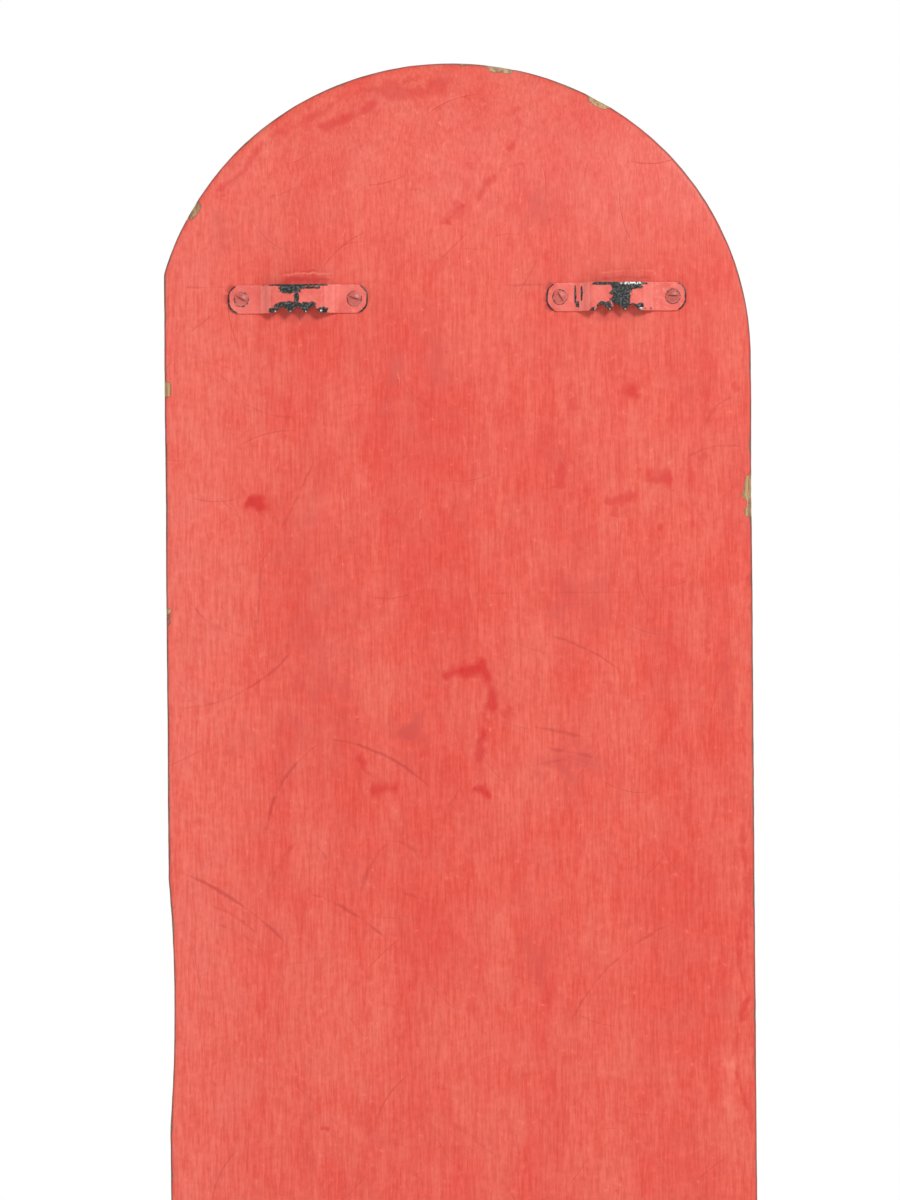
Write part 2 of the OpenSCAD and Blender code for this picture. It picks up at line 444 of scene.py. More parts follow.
def trail(
    kind: MarkKind, *places: tuple[float, float], bow: float = 0.0, width: float = 0.5, strength: float = 1.0
) -> list[Mark]:
    """Marks that lead on from place to place.

    Args:
        kind: what left them.
        places: the places in order.
        bow: how far each mark's middle stands to its left.
        width: their half width.
        strength: how strong they are.

    Returns:
        One mark for each step.
    """
    return [Mark(kind, first, second, bow, width, strength) for first, second in zip(places, places[1:])]


def repeated(marks: list[Mark], step: tuple[float, float], count: int) -> list[Mark]:
    """Lays the same marks again and again.

    Args:
        marks: the marks of the first time.
        step: how far each repeat lies from the last.
        count: how many times they are laid in all.

    Returns:
        All the marks.
    """
    laid = []
    for i in range(count):
        for mark in marks:
            ends = [(end[0] + step[0] * i, end[1] + step[1] * i) for end in (mark.start, mark.end)]
            laid.append(replace(mark, start=ends[0], end=ends[1]))
    return laid


def on_nose(degrees: float, inset: float) -> tuple[float, float]:
    """A place on the nose.

    Args:
        degrees: its angle above the right side.
        inset: its distance from the rounded edge, in millimetres.

    Returns:
        The place across and along, in millimetres.
    """
    angle = math.radians(degrees)
    reach = NOSE_RADIUS - inset
    return NOSE_MIDDLE[0] + reach * math.cos(angle), NOSE_MIDDLE[1] + reach * math.sin(angle)


@dataclass(frozen=True)
class Strewn:
    """Small marks of one kind, strewn by chance over a part of the face.

    Low and high are the part's corners, slant and spread turn the marks, in degrees, and seed is their own.
    """

    kind: MarkKind
    count: int
    low: tuple[float, float]
    high: tuple[float, float]
    length: float
    slant: float
    spread: float
    width: float
    strength: float
    seed: int

    def marks(self) -> list[Mark]:
        """Draws the marks.

        Returns:
            The marks, the same ones each time.
        """
        draw = random.Random(self.seed)
        made = []
        for _ in range(self.count):
            start = (draw.uniform(self.low[0], self.high[0]), draw.uniform(self.low[1], self.high[1]))
            angle = math.radians(self.slant + self.spread * draw.uniform(-1, 1))
            length = self.length * draw.uniform(0.4, 1.3)
            end = (start[0] + length * math.cos(angle), start[1] + length * math.sin(angle))
            bow = 0.12 * length * draw.uniform(-1, 1)
            width = self.width * draw.uniform(0.6, 1.3)
            strength = self.strength * draw.uniform(0.5, 1.0)
            made.append(Mark(self.kind, start, end, bow, width, strength))
        return made


def middle_marks() -> list[Mark]:
    """The hooked dark smear in the middle of the face and what lies round it.

    Returns:
        The marks.
    """
    marks = trail(SMEAR, (-10, -180), (15, -175), width=4.4)
    marks += trail(SMEAR, (10, -170), (15, -200), bow=2, width=3.6)
    marks += trail(SMEAR, (15, -190), (10, -225), bow=-2, width=2.8, strength=0.85)
    marks += trail(SMEAR, (5, -235), (15, -240), bow=2, width=2.8)
    marks += trail(SMEAR, (-50, -215), (-40, -230), bow=-3, width=2.8, strength=0.85)
    marks += trail(SMEAR, (-45, -235), (-30, -235), width=5.5, strength=0.8)
    marks += trail(SMEAR, (20, -200), (25, -195), width=3.6, strength=0.6)
    marks += trail(SHADE, (-40, -205), (-10, -210), width=13)
    marks += trail(SHADE, (25, -220), (75, -225), width=13, strength=0.7)
    marks += repeated(trail(SCRATCH, (35, -205), (60, -210), width=1.2, strength=0.8), (5, -10), 2)
    marks += trail(SCRATCH, (30, -225), (55, -220), width=1.2, strength=0.6)
    marks += trail(SCRATCH, (-95, -260), (-65, -210), bow=8, width=0.9)
    marks += trail(SCRATCH, (-65, -210), (-10, -240), bow=6, width=0.83)
    marks += trail(SCRATCH, (40, -160), (80, -180), bow=3, width=0.83, strength=0.8)
    return marks


def upper_marks() -> list[Mark]:
    """Blots and scratches between the hangers and the middle.

    Returns:
        The marks.
    """
    marks = trail(SMEAR, (-105, -95), (-90, -100), bow=2, width=4.6)
    marks += trail(SCRATCH, (-100, -100), (-100, -160), bow=3, width=0.75, strength=0.6)
    marks += trail(SMEAR, (80, -45), (90, -40), width=4.2, strength=0.8)
    marks += trail(SMEAR, (90, -85), (105, -85), width=5.0, strength=0.8)
    marks += trail(SMEAR, (70, -95), (90, -90), bow=-2, width=3.6, strength=0.6)
    marks += trail(SMEAR, (50, -75), (50, -90), width=3.2, strength=0.6)
    marks += trail(SCRATCH, (-140, -195), (-80, -165), bow=-8, width=0.83, strength=0.75)
    marks += trail(SCRATCH, (-135, -135), (-100, -160), bow=-7, width=0.75, strength=0.6)
    marks += trail(SCRATCH, (-70, -75), (-90, -115), width=0.75, strength=0.6)
    marks += trail(SCRATCH, (110, -75), (140, -70), bow=3, width=0.75, strength=0.6)
    marks += trail(SCRATCH, (120, -60), (135, -45), bow=3, width=0.9, strength=0.6)
    marks += trail(SCRATCH, (10, -140), (85, -140), width=0.6, strength=0.4)
    marks += trail(SHADE, (-70, -40), (-70, -270), width=26, strength=0.4)
    marks += trail(SHADE, (130, -150), (130, -220), width=5, strength=0.6)
    marks += Strewn(SCRATCH, 9, (-135, -110), (-90, -20), 26, -60, 60, 0.6, 0.6, 4).marks()
    marks += Strewn(SCRATCH, 7, (-60, -130), (70, -25), 16, -30, 90, 0.5, 0.6, 9).marks()
    marks += Strewn(SMEAR, 9, (40, -180), (135, -30), 7, 20, 90, 2.2, 0.6, 12).marks()
    marks += Strewn(SCRATCH, 5, (90, -220), (135, -90), 14, 60, 60, 0.6, 0.5, 15).marks()
    marks += Strewn(SMEAR, 12, (55, -300), (138, -60), 70, -90, 1, 1.2, 0.5, 23).marks()
    marks += Strewn(SHADE, 10, (-120, -330), (130, 60), 45, -85, 25, 9.0, 0.6, 27).marks()
    marks += Strewn(SMEAR, 15, (139, -420), (141, 5), 50, -90, 1, 1.7, 0.7, 29).marks()
    marks += Strewn(RUB, 16, (-115, -150), (115, 80), 8, -90, 10, 0.4, 0.8, 30).marks()
    return marks


def lower_marks() -> list[Mark]:
    """The flight of slanting strokes, the long bowed scratch and the scuff low on the face.

    Returns:
        The marks.
    """
    marks = trail(SCRATCH, (-135, -275), (-85, -310), bow=3, width=1.05, strength=0.95)
    short = trail(SCRATCH, (-125, -290), (-100, -305), bow=2, width=0.9, strength=0.5)
    marks += repeated(short, (5, -10), 2)
    zigzag = trail(SCRATCH, (-95, -290), (-80, -260), (-65, -270), bow=3, width=1.2, strength=0.6)
    marks += repeated(zigzag, (45, 0), 2)
    marks += trail(SCRATCH, (-75, -285), (-35, -310), bow=3, width=1.05, strength=0.9)
    marks += trail(SCRATCH, (-30, -285), (-15, -290), width=1.05, strength=0.6)
    marks += trail(SCRATCH, (105, -300), (50, -355), bow=-8, width=0.9, strength=0.7)
    marks += trail(RUB, (125, -370), (135, -370), width=6, strength=0.9)
    marks += trail(RUB, (130, -365), (130, -400), width=4, strength=0.6)
    marks += trail(SHADE, (-75, -355), (-75, -440), width=4, strength=0.6)
    marks += trail(SHADE, (15, -400), (15, -410), width=5, strength=0.5)
    marks += trail(SMEAR, (-70, -400), (-65, -400), width=1.6, strength=0.8)
    marks += Strewn(SCRATCH, 8, (-10, -400), (100, -330), 22, -30, 40, 0.5, 0.5, 31).marks()
    marks += Strewn(SCRATCH, 7, (-130, -430), (20, -320), 12, -60, 60, 0.6, 0.45, 37).marks()
    marks += Strewn(SMEAR, 8, (-135, -430), (130, -260), 60, -90, 1, 0.8, 0.3, 41).marks()
    return marks


def nose_marks() -> list[Mark]:
    """Strokes that follow the nose's edge, and a worn flight down from its middle.

    Returns:
        The marks.
    """
    marks = trail(SMEAR, on_nose(105, 10), on_nose(90, 10), bow=-2, width=5.5, strength=0.6)
    marks += trail(SMEAR, on_nose(120, 15), on_nose(105, 15), bow=-2, width=3.0, strength=0.7)
    rim = [on_nose(degrees, 5) for degrees in (145, 130, 110, 95)]
    marks += trail(SMEAR, *rim, bow=-3, width=2.2, strength=0.5)
    marks += trail(SMEAR, (30, 95), (25, 75), bow=3, width=3.0, strength=0.8)
    marks += trail(SMEAR, (35, 70), (20, 65), (10, 50), bow=-1, width=2.2, strength=0.75)
    marks += trail(SMEAR, (5, 50), (-5, 40), bow=-1, width=3.6, strength=0.9)
    marks += trail(SHADE, (30, 55), (55, 45), width=12, strength=0.7)
    marks += trail(SCRATCH, (-105, 50), (-75, 60), bow=-1, width=1.05, strength=0.5)
    marks += Strewn(RUB, 12, (-20, 65), (-5, 105), 3, 60, 70, 0.7, 0.9, 43).marks()
    marks += Strewn(SCRATCH, 10, (-70, 25), (95, 85), 18, 60, 70, 0.6, 0.45, 47).marks()
    marks += Strewn(SMEAR, 9, (-60, 30), (80, 100), 8, 45, 50, 2.0, 0.55, 53).marks()
    return marks


def hanger_marks() -> list[Mark]:
    """Smears and a painted highlight of brushed ridges above both hangers, lines out from their ends,
    painted shade under their teeth and a curved dark painted shadow round the left end of each.

    Returns:
        The marks, placed from the hangers' own boxes.
    """
    end_shadow_turns = (60, 20, -20, -60)
    end_shadow_reach = 1.1
    marks = []
    for name in ("hanger_left", "hanger_right"):
        low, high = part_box(name)
        middle = (low[0] + high[0]) / 2 / MM
        top = high[2] / MM
        marks += trail(
            SMEAR, (middle - 8, top + 1.5), (middle + 18, top + 2), bow=1, width=1.5, strength=0.75
        )
        marks += trail(SMEAR, (middle - 6, top + 6), (middle + 10, top + 7), width=0.7, strength=0.6)
        # Painted highlight: a pale line where the brushed ridge above the hanger catches the light.
        marks += trail(RUB, (middle - 10, top + 4), (middle + 20, top + 5), bow=1, width=0.6, strength=0.8)
        marks += trail(SCRATCH, (middle - 55, top - 1), (middle - 35, top - 1), width=0.75, strength=0.6)
        # Painted shade under the arch, in the notches and below the teeth, where the strap shades the board.
        marks += trail(SHADE, (middle - 20, -5), (middle + 14, -5), width=4, strength=0.6)
        # Painted shadow: a dark curve round the left end of each strap, where it stands off the board, drawn
        # with the scratch colour.
        rounding = (high[2] - low[2]) / 2 / MM
        centre = (low[0] / MM + rounding, top - rounding)
        reach = end_shadow_reach * rounding
        end_shadow_arc = []
        for turn in end_shadow_turns:
            angle = math.radians(turn)
            end_shadow_arc.append((centre[0] - reach * math.cos(angle), centre[1] + reach * math.sin(angle)))
        marks += trail(SCRATCH, *end_shadow_arc, bow=-0.4, width=2.2)
    return marks


def tail_marks() -> list[Mark]:
    """What sliding has left on the half that ends in the tail.

    Returns:
        The marks.
    """
    marks = trail(SCRATCH, (-90, -520), (20, -560), bow=9, width=0.9, strength=0.8)
    marks += trail(SCRATCH, (60, -610), (-30, -690), bow=-10, width=0.9, strength=0.7)
    marks += trail(SMEAR, (-40, -630), (-30, -670), bow=4, width=3, strength=0.8)
    marks += trail(SMEAR, (70, -760), (100, -765), bow=2, width=2.6, strength=0.7)
    marks += trail(SCRATCH, (-120, -820), (-30, -800), bow=12, width=0.9, strength=0.8)
    marks += trail(SCRATCH, (20, -900), (110, -960), bow=6, width=1.05, strength=0.8)
    marks += trail(SMEAR, (-70, -980), (-50, -1010), bow=-4, width=2.8, strength=0.7)
    marks += trail(RUB, (-40, -1050), (30, -1055), bow=3, width=8, strength=0.6)
    marks += Strewn(SCRATCH, 40, (-130, -1080), (110, -440), 30, -40, 80, 0.6, 0.6, 61).marks()
    marks += Strewn(SMEAR, 18, (-120, -1080), (120, -440), 10, 30, 90, 3.0, 0.6, 67).marks()
    marks += Strewn(SMEAR, 16, (-135, -1040), (135, -440), 70, -90, 1, 0.8, 0.35, 71).marks()
    return marks


def face_marks() -> list[Mark]:
    """All the marks on the running face, from the nose to the tail."""
    return nose_marks() + hanger_marks() + upper_marks() + middle_marks() + lower_marks() + tail_marks()


@dataclass(frozen=True)
class MarkLayers:
    """How marks of one kind are drawn, and how many of them may lie over one spot.

    Blunt squares their ends, soft is the share of their width that fades, and ragged is how far noise moves
    their sides, in millimetres.
    """

    kind: MarkKind
    layers: int
    blunt: float
    soft: float
    ragged: float

    def names(self) -> list[tuple[str, str]]:
        """The place and shape attributes of each layer."""
        return [(f"{self.kind.value}_{i}_place", f"{self.kind.value}_{i}_shape") for i in range(self.layers)]

    def store(self, mesh: Mesh, marks: list[Mark]) -> None:
        """Stores, on the corners of each face, where they lie on the marks that cross it.

        A place in a mark's own frame changes evenly over a face, so the shader draws the mark sharply from
        the corners' values, however small it is against the face.

        Args:
            mesh: the board's mesh, already facing outwards.
            marks: all the marks.
        """
        own = [mark for mark in marks if mark.kind is self.kind]
        start = np.array([mark.start for mark in own])
        way = np.array([mark.end for mark in own]) - start
        half = np.linalg.norm(way, axis=1) / 2
        ahead = way / (2 * half[:, None])
        aside = np.stack([-ahead[:, 1], ahead[:, 0]], axis=1)
        middle = start + way / 2
        bow = np.array([mark.bow for mark in own])
        width = np.array([mark.width for mark in own])
        strength = np.array([mark.strength for mark in own])
        flat, first, of_face = flat_corners(mesh)
        counts = np.bincount(of_face)
        centre = np.add.reduceat(flat, first) / counts[:, None]
        size = np.maximum.reduceat(np.linalg.norm(flat - centre[of_face], axis=1), first)
        from_middle = centre[:, None, :] - middle[None, :, :]
        along = (from_middle * ahead).sum(axis=2) / half
        across = (from_middle * aside).sum(axis=2)
        arch = np.clip(1 - along * along, 0, 1)
        gap = np.maximum(np.abs(across - bow * arch) - width, (np.abs(along) - 1) * half)
        nearest = np.argsort(gap, axis=1)
        for layer, (place_name, shape_name) in enumerate(self.names()):
            chosen = nearest[:, layer]
            touched = np.take_along_axis(gap, chosen[:, None], axis=1)[:, 0] < size + self.ragged
            pick, shown = chosen[of_face], touched[of_face]
            apart = flat - middle[pick]
            place = np.stack(
                [
                    (apart * ahead[pick]).sum(axis=1) / half[pick],
                    (apart * aside[pick]).sum(axis=1),
                    strength[pick] * shown,
                ],
                axis=1,
            )
            shape = np.stack([bow[pick], width[pick], 1 / (width[pick] * self.soft)], axis=1)
            for name, values in ((place_name, place), (shape_name, shape)):
                layer_data = mesh.attributes.new(name, "FLOAT_VECTOR", "CORNER")
                layer_data.data.foreach_set("vector", values.astype(np.float32).ravel())

    def mask(self, board: NodeBoard, jitter: Feed, swell: Feed) -> Socket:
        """Draws the kind's marks.

        Args:
            board: the material's board.
            jitter: noise from -1 to 1 that makes the sides ragged.
            swell: slower noise that widens and narrows the marks.

        Returns:
            The mask, from 0 to 1.
        """
        total: Feed = 0.0
        for place_name, shape_name in self.names():
            spot = board.split(board.stored(place_name, "Vector"))
            form = board.split(board.stored(shape_name, "Vector"))
            across = board.times_plus(jitter, self.ragged, spot["Y"])
            width = board.times(form["Y"], swell)
            laid = board.effect(
                stroke(), Along=spot["X"], Across=across, Bow=form["X"], Width=width, Blunt=self.blunt,
                Crisp=form["Z"],
            )
            total = board.maths("MAXIMUM", total, board.times(laid["Mask"], spot["Z"]))
        return total


MARK_LAYERS = (
    MarkLayers(SMEAR, 3, 2.4, 0.9, 2.6),
    MarkLayers(SCRATCH, 3, 2.4, 0.9, 1.1),
    MarkLayers(RUB, 1, 2.0, 0.8, 1.6),
    MarkLayers(SHADE, 2, 1.0, 1.0, 6.0),
)


def flat_corners(mesh: Mesh) -> tuple[np.ndarray, np.ndarray, np.ndarray]:
    """Reads a mesh's face corners.

    Args:
        mesh: the mesh.

    Returns:
        The corners' (x, z) in millimetres, each face's first corner, and each corner's face.
    """
    points = np.empty(len(mesh.vertices) * 3)
    mesh.vertices.foreach_get("co", points)
    owner = np.empty(len(mesh.loops), dtype=int)
    mesh.loops.foreach_get("vertex_index", owner)
    first = np.empty(len(mesh.polygons), dtype=int)
    mesh.polygons.foreach_get("loop_start", first)
    total = np.empty(len(mesh.polygons), dtype=int)
    mesh.polygons.foreach_get("loop_total", total)
    flat = points.reshape(-1, 3)[owner][:, (0, 2)] / MM
    return flat, first, np.repeat(np.arange(len(first)), total)


# ---- finishes ----------------------------------------------------


@dataclass(frozen=True)
class WoodEnamel:
    """Worn coral enamel brushed on wood, rubbed through to the wood at edges and chips."""

    name: str
    body: Colour = (0.690, 0.097, 0.062)
    deep: Colour = (0.645, 0.052, 0.033)
    paler_left_tone: Colour = (0.705, 0.108, 0.075)
    smear: Colour = (0.560, 0.012, 0.009)
    scratch: Colour = (0.440, 0.022, 0.018)
    rub: Colour = (0.790, 0.180, 0.125)
    shade: Colour = (0.560, 0.056, 0.042)
    # Brush-streak tones: darker in the furrows; paler and whiter on the ridges, partly painted sheen.
    streak_furrow_tone: Colour = (0.915, 0.69, 0.63)
    streak_ridge_tone_and_sheen: Colour = (1.075, 1.36, 1.44)
    wood_light: Colour = (0.520, 0.330, 0.160)
    wood_dark: Colour = (0.240, 0.130, 0.060)
    dirt: Colour = (0.085, 0.055, 0.042)
    dust_tone: Colour = (0.52, 0.42, 0.36)
    streak_pitch: float = 0.0011
    streak_run: float = 0.013
    band_pitch: float = 0.030
    band_run: float = 0.15
    patch_size: float = 0.075
    chip_size: float = 0.009
    bump_height: float = 0.00022
    specular: float = 0.38
    strays: tuple[tuple[float, float, float], ...] = ((0.5, 36.0, 0.45), (2.1, 47.0, 0.5))
    grain_turn: tuple[float, float, float] = (0.0, 0.0, 0.0)
    reach: float = 0.78
    marked: bool = False

    def material(self) -> bpy.types.Material:
        """Builds the material.

        Returns:
            The material.
        """
        made, board, shader, place = new_material(self.name)
        along = board.add("ShaderNodeMapping", {"Vector": place, "Rotation": self.grain_turn})[0]
        streak = board.effect(brush_grain(), Vector=along, Pitch=self.streak_pitch, Run=self.streak_run)[0]
        tone = board.effect(mottle(), Vector=place, Size=self.patch_size)
        paint, relief = self.coat(board, place, streak, tone)
        wear = board.stored("wear")
        lost = board.effect(edge_wear(), Wear=wear, Vector=along, Size=self.chip_size, Reach=self.reach)
        bare = lost["Bare"]
        wood = board.effect(bare_wood(), Vector=along, Light=self.wood_light, Dark=self.wood_dark)
        dirty = board.blend(board.times(lost["Rim"], 0.65), paint, self.dirt)
        colour = board.blend(bare, dirty, wood["Color"])
        grime = board.stored("grime")
        soiled = board.times(grime, board.ramp(streak, 0.30, 0.60, 0.55, 1.0))
        colour = board.blend(soiled, colour, self.dirt)
        haze = board.effect(dust(), Vector=place)[0]
        board.feed(shader.inputs["Base Color"], board.blend(haze, colour, self.dust_tone))
        gloss = board.times_plus(tone["Patch"], 0.10, 0.40)
        rough = board.maths("MAXIMUM", gloss, board.times(bare, 0.85))
        rough = board.maths("MAXIMUM", rough, board.ramp(grime, 0.0, 0.3, 0.0, 0.8))
        board.feed(shader.inputs["Roughness"], rough)
        sunk = board.times_plus(bare, -0.9, relief)
        height = board.times_plus(board.times(wood["Fibre"], bare), 0.5, sunk)
        bump = board.add("ShaderNodeBump", {"Height": height, "Strength": 0.7, "Distance": self.bump_height})
        board.feed(shader.inputs["Normal"], bump[0])
        shader.inputs["Specular IOR Level"].default_value = self.specular
        return made

    def coat(self, board: NodeBoard, place: Feed, streak: Feed, tone: Sockets) -> tuple[Socket, Socket]:
        """Builds the enamel's colour and relief.

        Args:
            board: the material's board.
            place: Object coordinates.
            streak: the brush streaks.
            tone: the mottle effect's outputs.

        Returns:
            The colour and the height of the coat.
        """
        patch, speck = tone["Patch"], tone["Speck"]
        bands = board.effect(brush_grain(), Vector=place, Pitch=self.band_pitch, Run=self.band_run)
        deeper = board.times(board.ramp(bands[0], 0.40, 0.64), 0.55)
        paint = board.blend(board.times_plus(patch, 0.45, deeper), self.body, self.deep)
        # Paler towards the left edge.
        paling = board.ramp(board.split(place)["X"], -0.08, -0.13, 0.0, 0.75)
        paint = board.blend(paling, paint, self.paler_left_tone)
        # Brush streaks: darker in the furrows, paler and whiter on the ridges; the paler end is partly
        # painted sheen on the ridges.
        fine = board.times_plus(speck, 0.35, board.times(streak, 0.65))
        grain = board.blend(board.ramp(fine, 0.32, 0.68), self.streak_furrow_tone, self.streak_ridge_tone_and_sheen)
        paint = board.blend(1.0, paint, grain, "MULTIPLY")
        paint = board.blend(board.ramp(speck, 0.64, 0.78, 0.0, 0.6), paint, self.rub)
        paint = board.blend(board.ramp(speck, 0.30, 0.22, 0.0, 0.5), paint, self.scratch)
        relief = board.times_plus(speck, 0.12, board.times(streak, 0.55))
        turn_flat = (-math.pi / 2, 0.0, 0.0)
        flat = board.add("ShaderNodeMapping", {"Vector": place, "Rotation": turn_flat})[0]
        wide = board.scaled(flat, 1.0 / MM)
        for turn, cell, share in self.strays:
            stray = board.effect(stray_scratches(), Vector=wide, Turn=turn, Cell=cell, Share=share)
            paint = board.blend(board.times(stray[0], 0.4), paint, self.scratch)
            relief = board.times_plus(stray[0], -0.35, relief)
        if self.marked:
            return self.marks(board, place, streak, paint, relief)
        return paint, relief

    def marks(
        self, board: NodeBoard, place: Feed, streak: Feed, paint: Feed, relief: Feed
    ) -> tuple[Socket, Socket]:
        """Lays the listed marks on the running face.

        Args:
            board: the material's board.
            place: Object coordinates.
            streak: the brush streaks.
            paint: the colour so far.
            relief: the height so far.

        Returns:
            The colour and the height with the marks on them.
        """
        face = board.stored("running_face")
        ragged = board.noise(place, 240.0, detail=4.0, roughness=0.7)
        jitter = board.times_plus(ragged, 2.0, -1.0)
        swell = board.ramp(board.noise(place, 110.0, detail=1.0), 0.32, 0.68, 0.45, 1.35)
        seen = {form.kind: board.times(form.mask(board, jitter, swell), face) for form in MARK_LAYERS}
        broken = board.ramp(streak, 0.30, 0.55, 0.70, 1.0)
        paint = board.blend(seen[SHADE], paint, self.shade)
        paint = board.blend(board.times(seen[RUB], board.times(broken, 0.8)), paint, self.rub)
        paint = board.blend(board.times(seen[SMEAR], board.times(broken, 0.95)), paint, self.smear)
        paint = board.blend(board.times(seen[SCRATCH], 0.6), paint, self.scratch)
        relief = board.times_plus(seen[SCRATCH], -0.5, relief)
        return paint, board.times_plus(seen[SMEAR], 0.4, relief)


@dataclass(frozen=True)
class SteelEnamel:
    """The same enamel on steel, rubbed through to blackened steel with bright worn edges, with a painted
    highlight of paler enamel along its rims.
    """

    name: str
    body: Colour = (0.740, 0.142, 0.110)
    deep: Colour = (0.640, 0.085, 0.064)
    pale: Colour = (0.860, 0.260, 0.220)
    black: Colour = (0.008, 0.009, 0.008)
    grey: Colour = (0.095, 0.112, 0.100)
    steel: Colour = (0.780, 0.800, 0.790)
    patch_size: float = 0.009
    chip_size: float = 0.0031
    patina_scale: float = 900.0
    bump_height: float = 0.00016
    reach: float = 0.62

    def material(self) -> bpy.types.Material:
        """Builds the material.

        Returns:
            The material.
        """
        made, board, shader, place = new_material(self.name)
        tone = board.effect(mottle(), Vector=place, Size=self.patch_size)
        patch, speck = tone["Patch"], tone["Speck"]
        paint = board.blend(patch, self.body, self.deep)
        paint = board.blend(board.ramp(speck, 0.55, 0.72, 0.0, 0.5), paint, self.pale)
        wear = board.stored("wear")
        lost = board.effect(edge_wear(), Wear=wear, Vector=place, Size=self.chip_size, Reach=self.reach)
        bare = lost["Bare"]
        rubbed = board.noise(place, self.patina_scale, roughness=0.6)
        glint = board.ramp(board.maths("ADD", rubbed, board.stored("shine")), 0.95, 1.20)
        patina = board.blend(board.ramp(rubbed, 0.46, 0.68), self.black, self.grey)
        metal = board.blend(glint, patina, self.steel)
        # Painted highlight: paler enamel along the rims, where the surface turns edge-on.
        paint = board.blend(board.times(board.stored("rim"), 0.5), paint, self.pale)
        paint = board.blend(board.times(lost["Rim"], 0.85), paint, self.black)
        board.feed(shader.inputs["Base Color"], board.blend(bare, paint, metal))
        board.feed(shader.inputs["Metallic"], board.times(bare, board.times_plus(glint, 0.8, 0.15)))
        board.feed(shader.inputs["Roughness"], board.times_plus(bare, -0.08, 0.38))
        lumps = board.times_plus(bare, -1.0, board.times_plus(speck, 0.6, patch))
        height = board.maths("ADD", lumps, board.times(board.times(rubbed, 1.4), bare))
        bump = board.add("ShaderNodeBump", {"Height": height, "Strength": 0.6, "Distance": self.bump_height})
        board.feed(shader.inputs["Normal"], bump[0])
        return made


# ---- mesh helpers ------------------------------------------------


def node_centre(name: str) -> Vector:
    """The middle of a CAD node's box."""
    low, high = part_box(name)
    return (Vector(low) + Vector(high)) / 2


def clamped(value: float) -> float:
    """Holds a number between 0 and 1."""
    return max(0.0, min(1.0, value))


def mesh_piece(name: str, mesh: Mesh) -> Piece:
    """Puts a mesh in the scene.

    Args:
        name: the piece's name.
        mesh: its mesh.

    Returns:
        The piece, at the origin.
    """
    piece = bpy.data.objects.new(name, mesh)
    bpy.context.scene.collection.objects.link(piece)
    return piece


def settled(piece: Piece) -> Piece:
    """Swaps a piece's modifiers for the plain mesh that they make.

    Args:
        piece: the piece with live modifiers.

    Returns:
        The same piece with a plain mesh.
    """
    graph = bpy.context.evaluated_depsgraph_get()
    mesh = bpy.data.meshes.new_from_object(piece.evaluated_get(graph))
    piece.modifiers.clear()
    piece.data = mesh
    mesh.name = piece.name
    return piece


def soften(mesh: Mesh, degrees: float) -> None:
    """Shades a mesh smooth, with sharp edges where it turns by more than the given angle."""
    mesh.shade_smooth()
    mesh.set_sharp_from_angle(angle=math.radians(degrees))


def paint_points(mesh: Mesh, name: str, values: list[float]) -> None:
    """Stores one number for each of a mesh's points.

    Args:
        mesh: the mesh.
        name: the attribute's name.
        values: one value for each vertex.
    """
    layer = mesh.attributes.new(name, "FLOAT", "POINT")
    layer.data.foreach_set("value", values)


def bump_of(distance: float, reach: float) -> float:
    """A smooth hill: 1 at distance 0, and 0 from reach outwards."""
    near = max(0.0, 1.0 - (distance / reach) ** 2)
    return near * near


def fit_and_report(piece: Piece, nodes: list[str]) -> None:
    """Ties a finished piece to the frame and logs it.

    Args:
        piece: the finished piece.
        nodes: the CAD nodes that it stands for.
    """
    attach(piece, BODY)
    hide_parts(*nodes)
    triangles = sum(len(face.vertices) - 2 for face in piece.data.polygons)
    LOG.info("%s stands for %d node(s) with %d triangles", piece.name, len(nodes), triangles)


# ---- plank -------------------------------------------------------


class Edge(Enum):
    """An edge of the board's outline."""

    RIGHT = "right"
    LEFT = "left"
    NOSE = "nose"
    TAIL = "tail"


@dataclass(frozen=True)
class EdgeChip:
    """A bite out of the running face's edge.

    Its place is a height on the sides, a distance from the middle at the tail, both in millimetres, or an
    angle above the right side on the nose, in degrees.  Its length and depth are in millimetres.
    """

    edge: Edge
    place: float
    length: float
    bite: float

    def middle(self, half_width: float, tail_z: float) -> Vector:
        """Where the chip's middle lies on the outline.

        Args:
            half_width: half of the board's width, in metres.
            tail_z: the tail's height, in metres.

        Returns:
            The flat point (x, z), in metres.
        """
        if self.edge is Edge.NOSE:
            return Vector(on_nose(self.place, 0.0)) * MM
        if self.edge is Edge.TAIL:
            return Vector((self.place * MM, tail_z))
        side = 1 if self.edge is Edge.RIGHT else -1
        return Vector((side * half_width, self.place * MM))


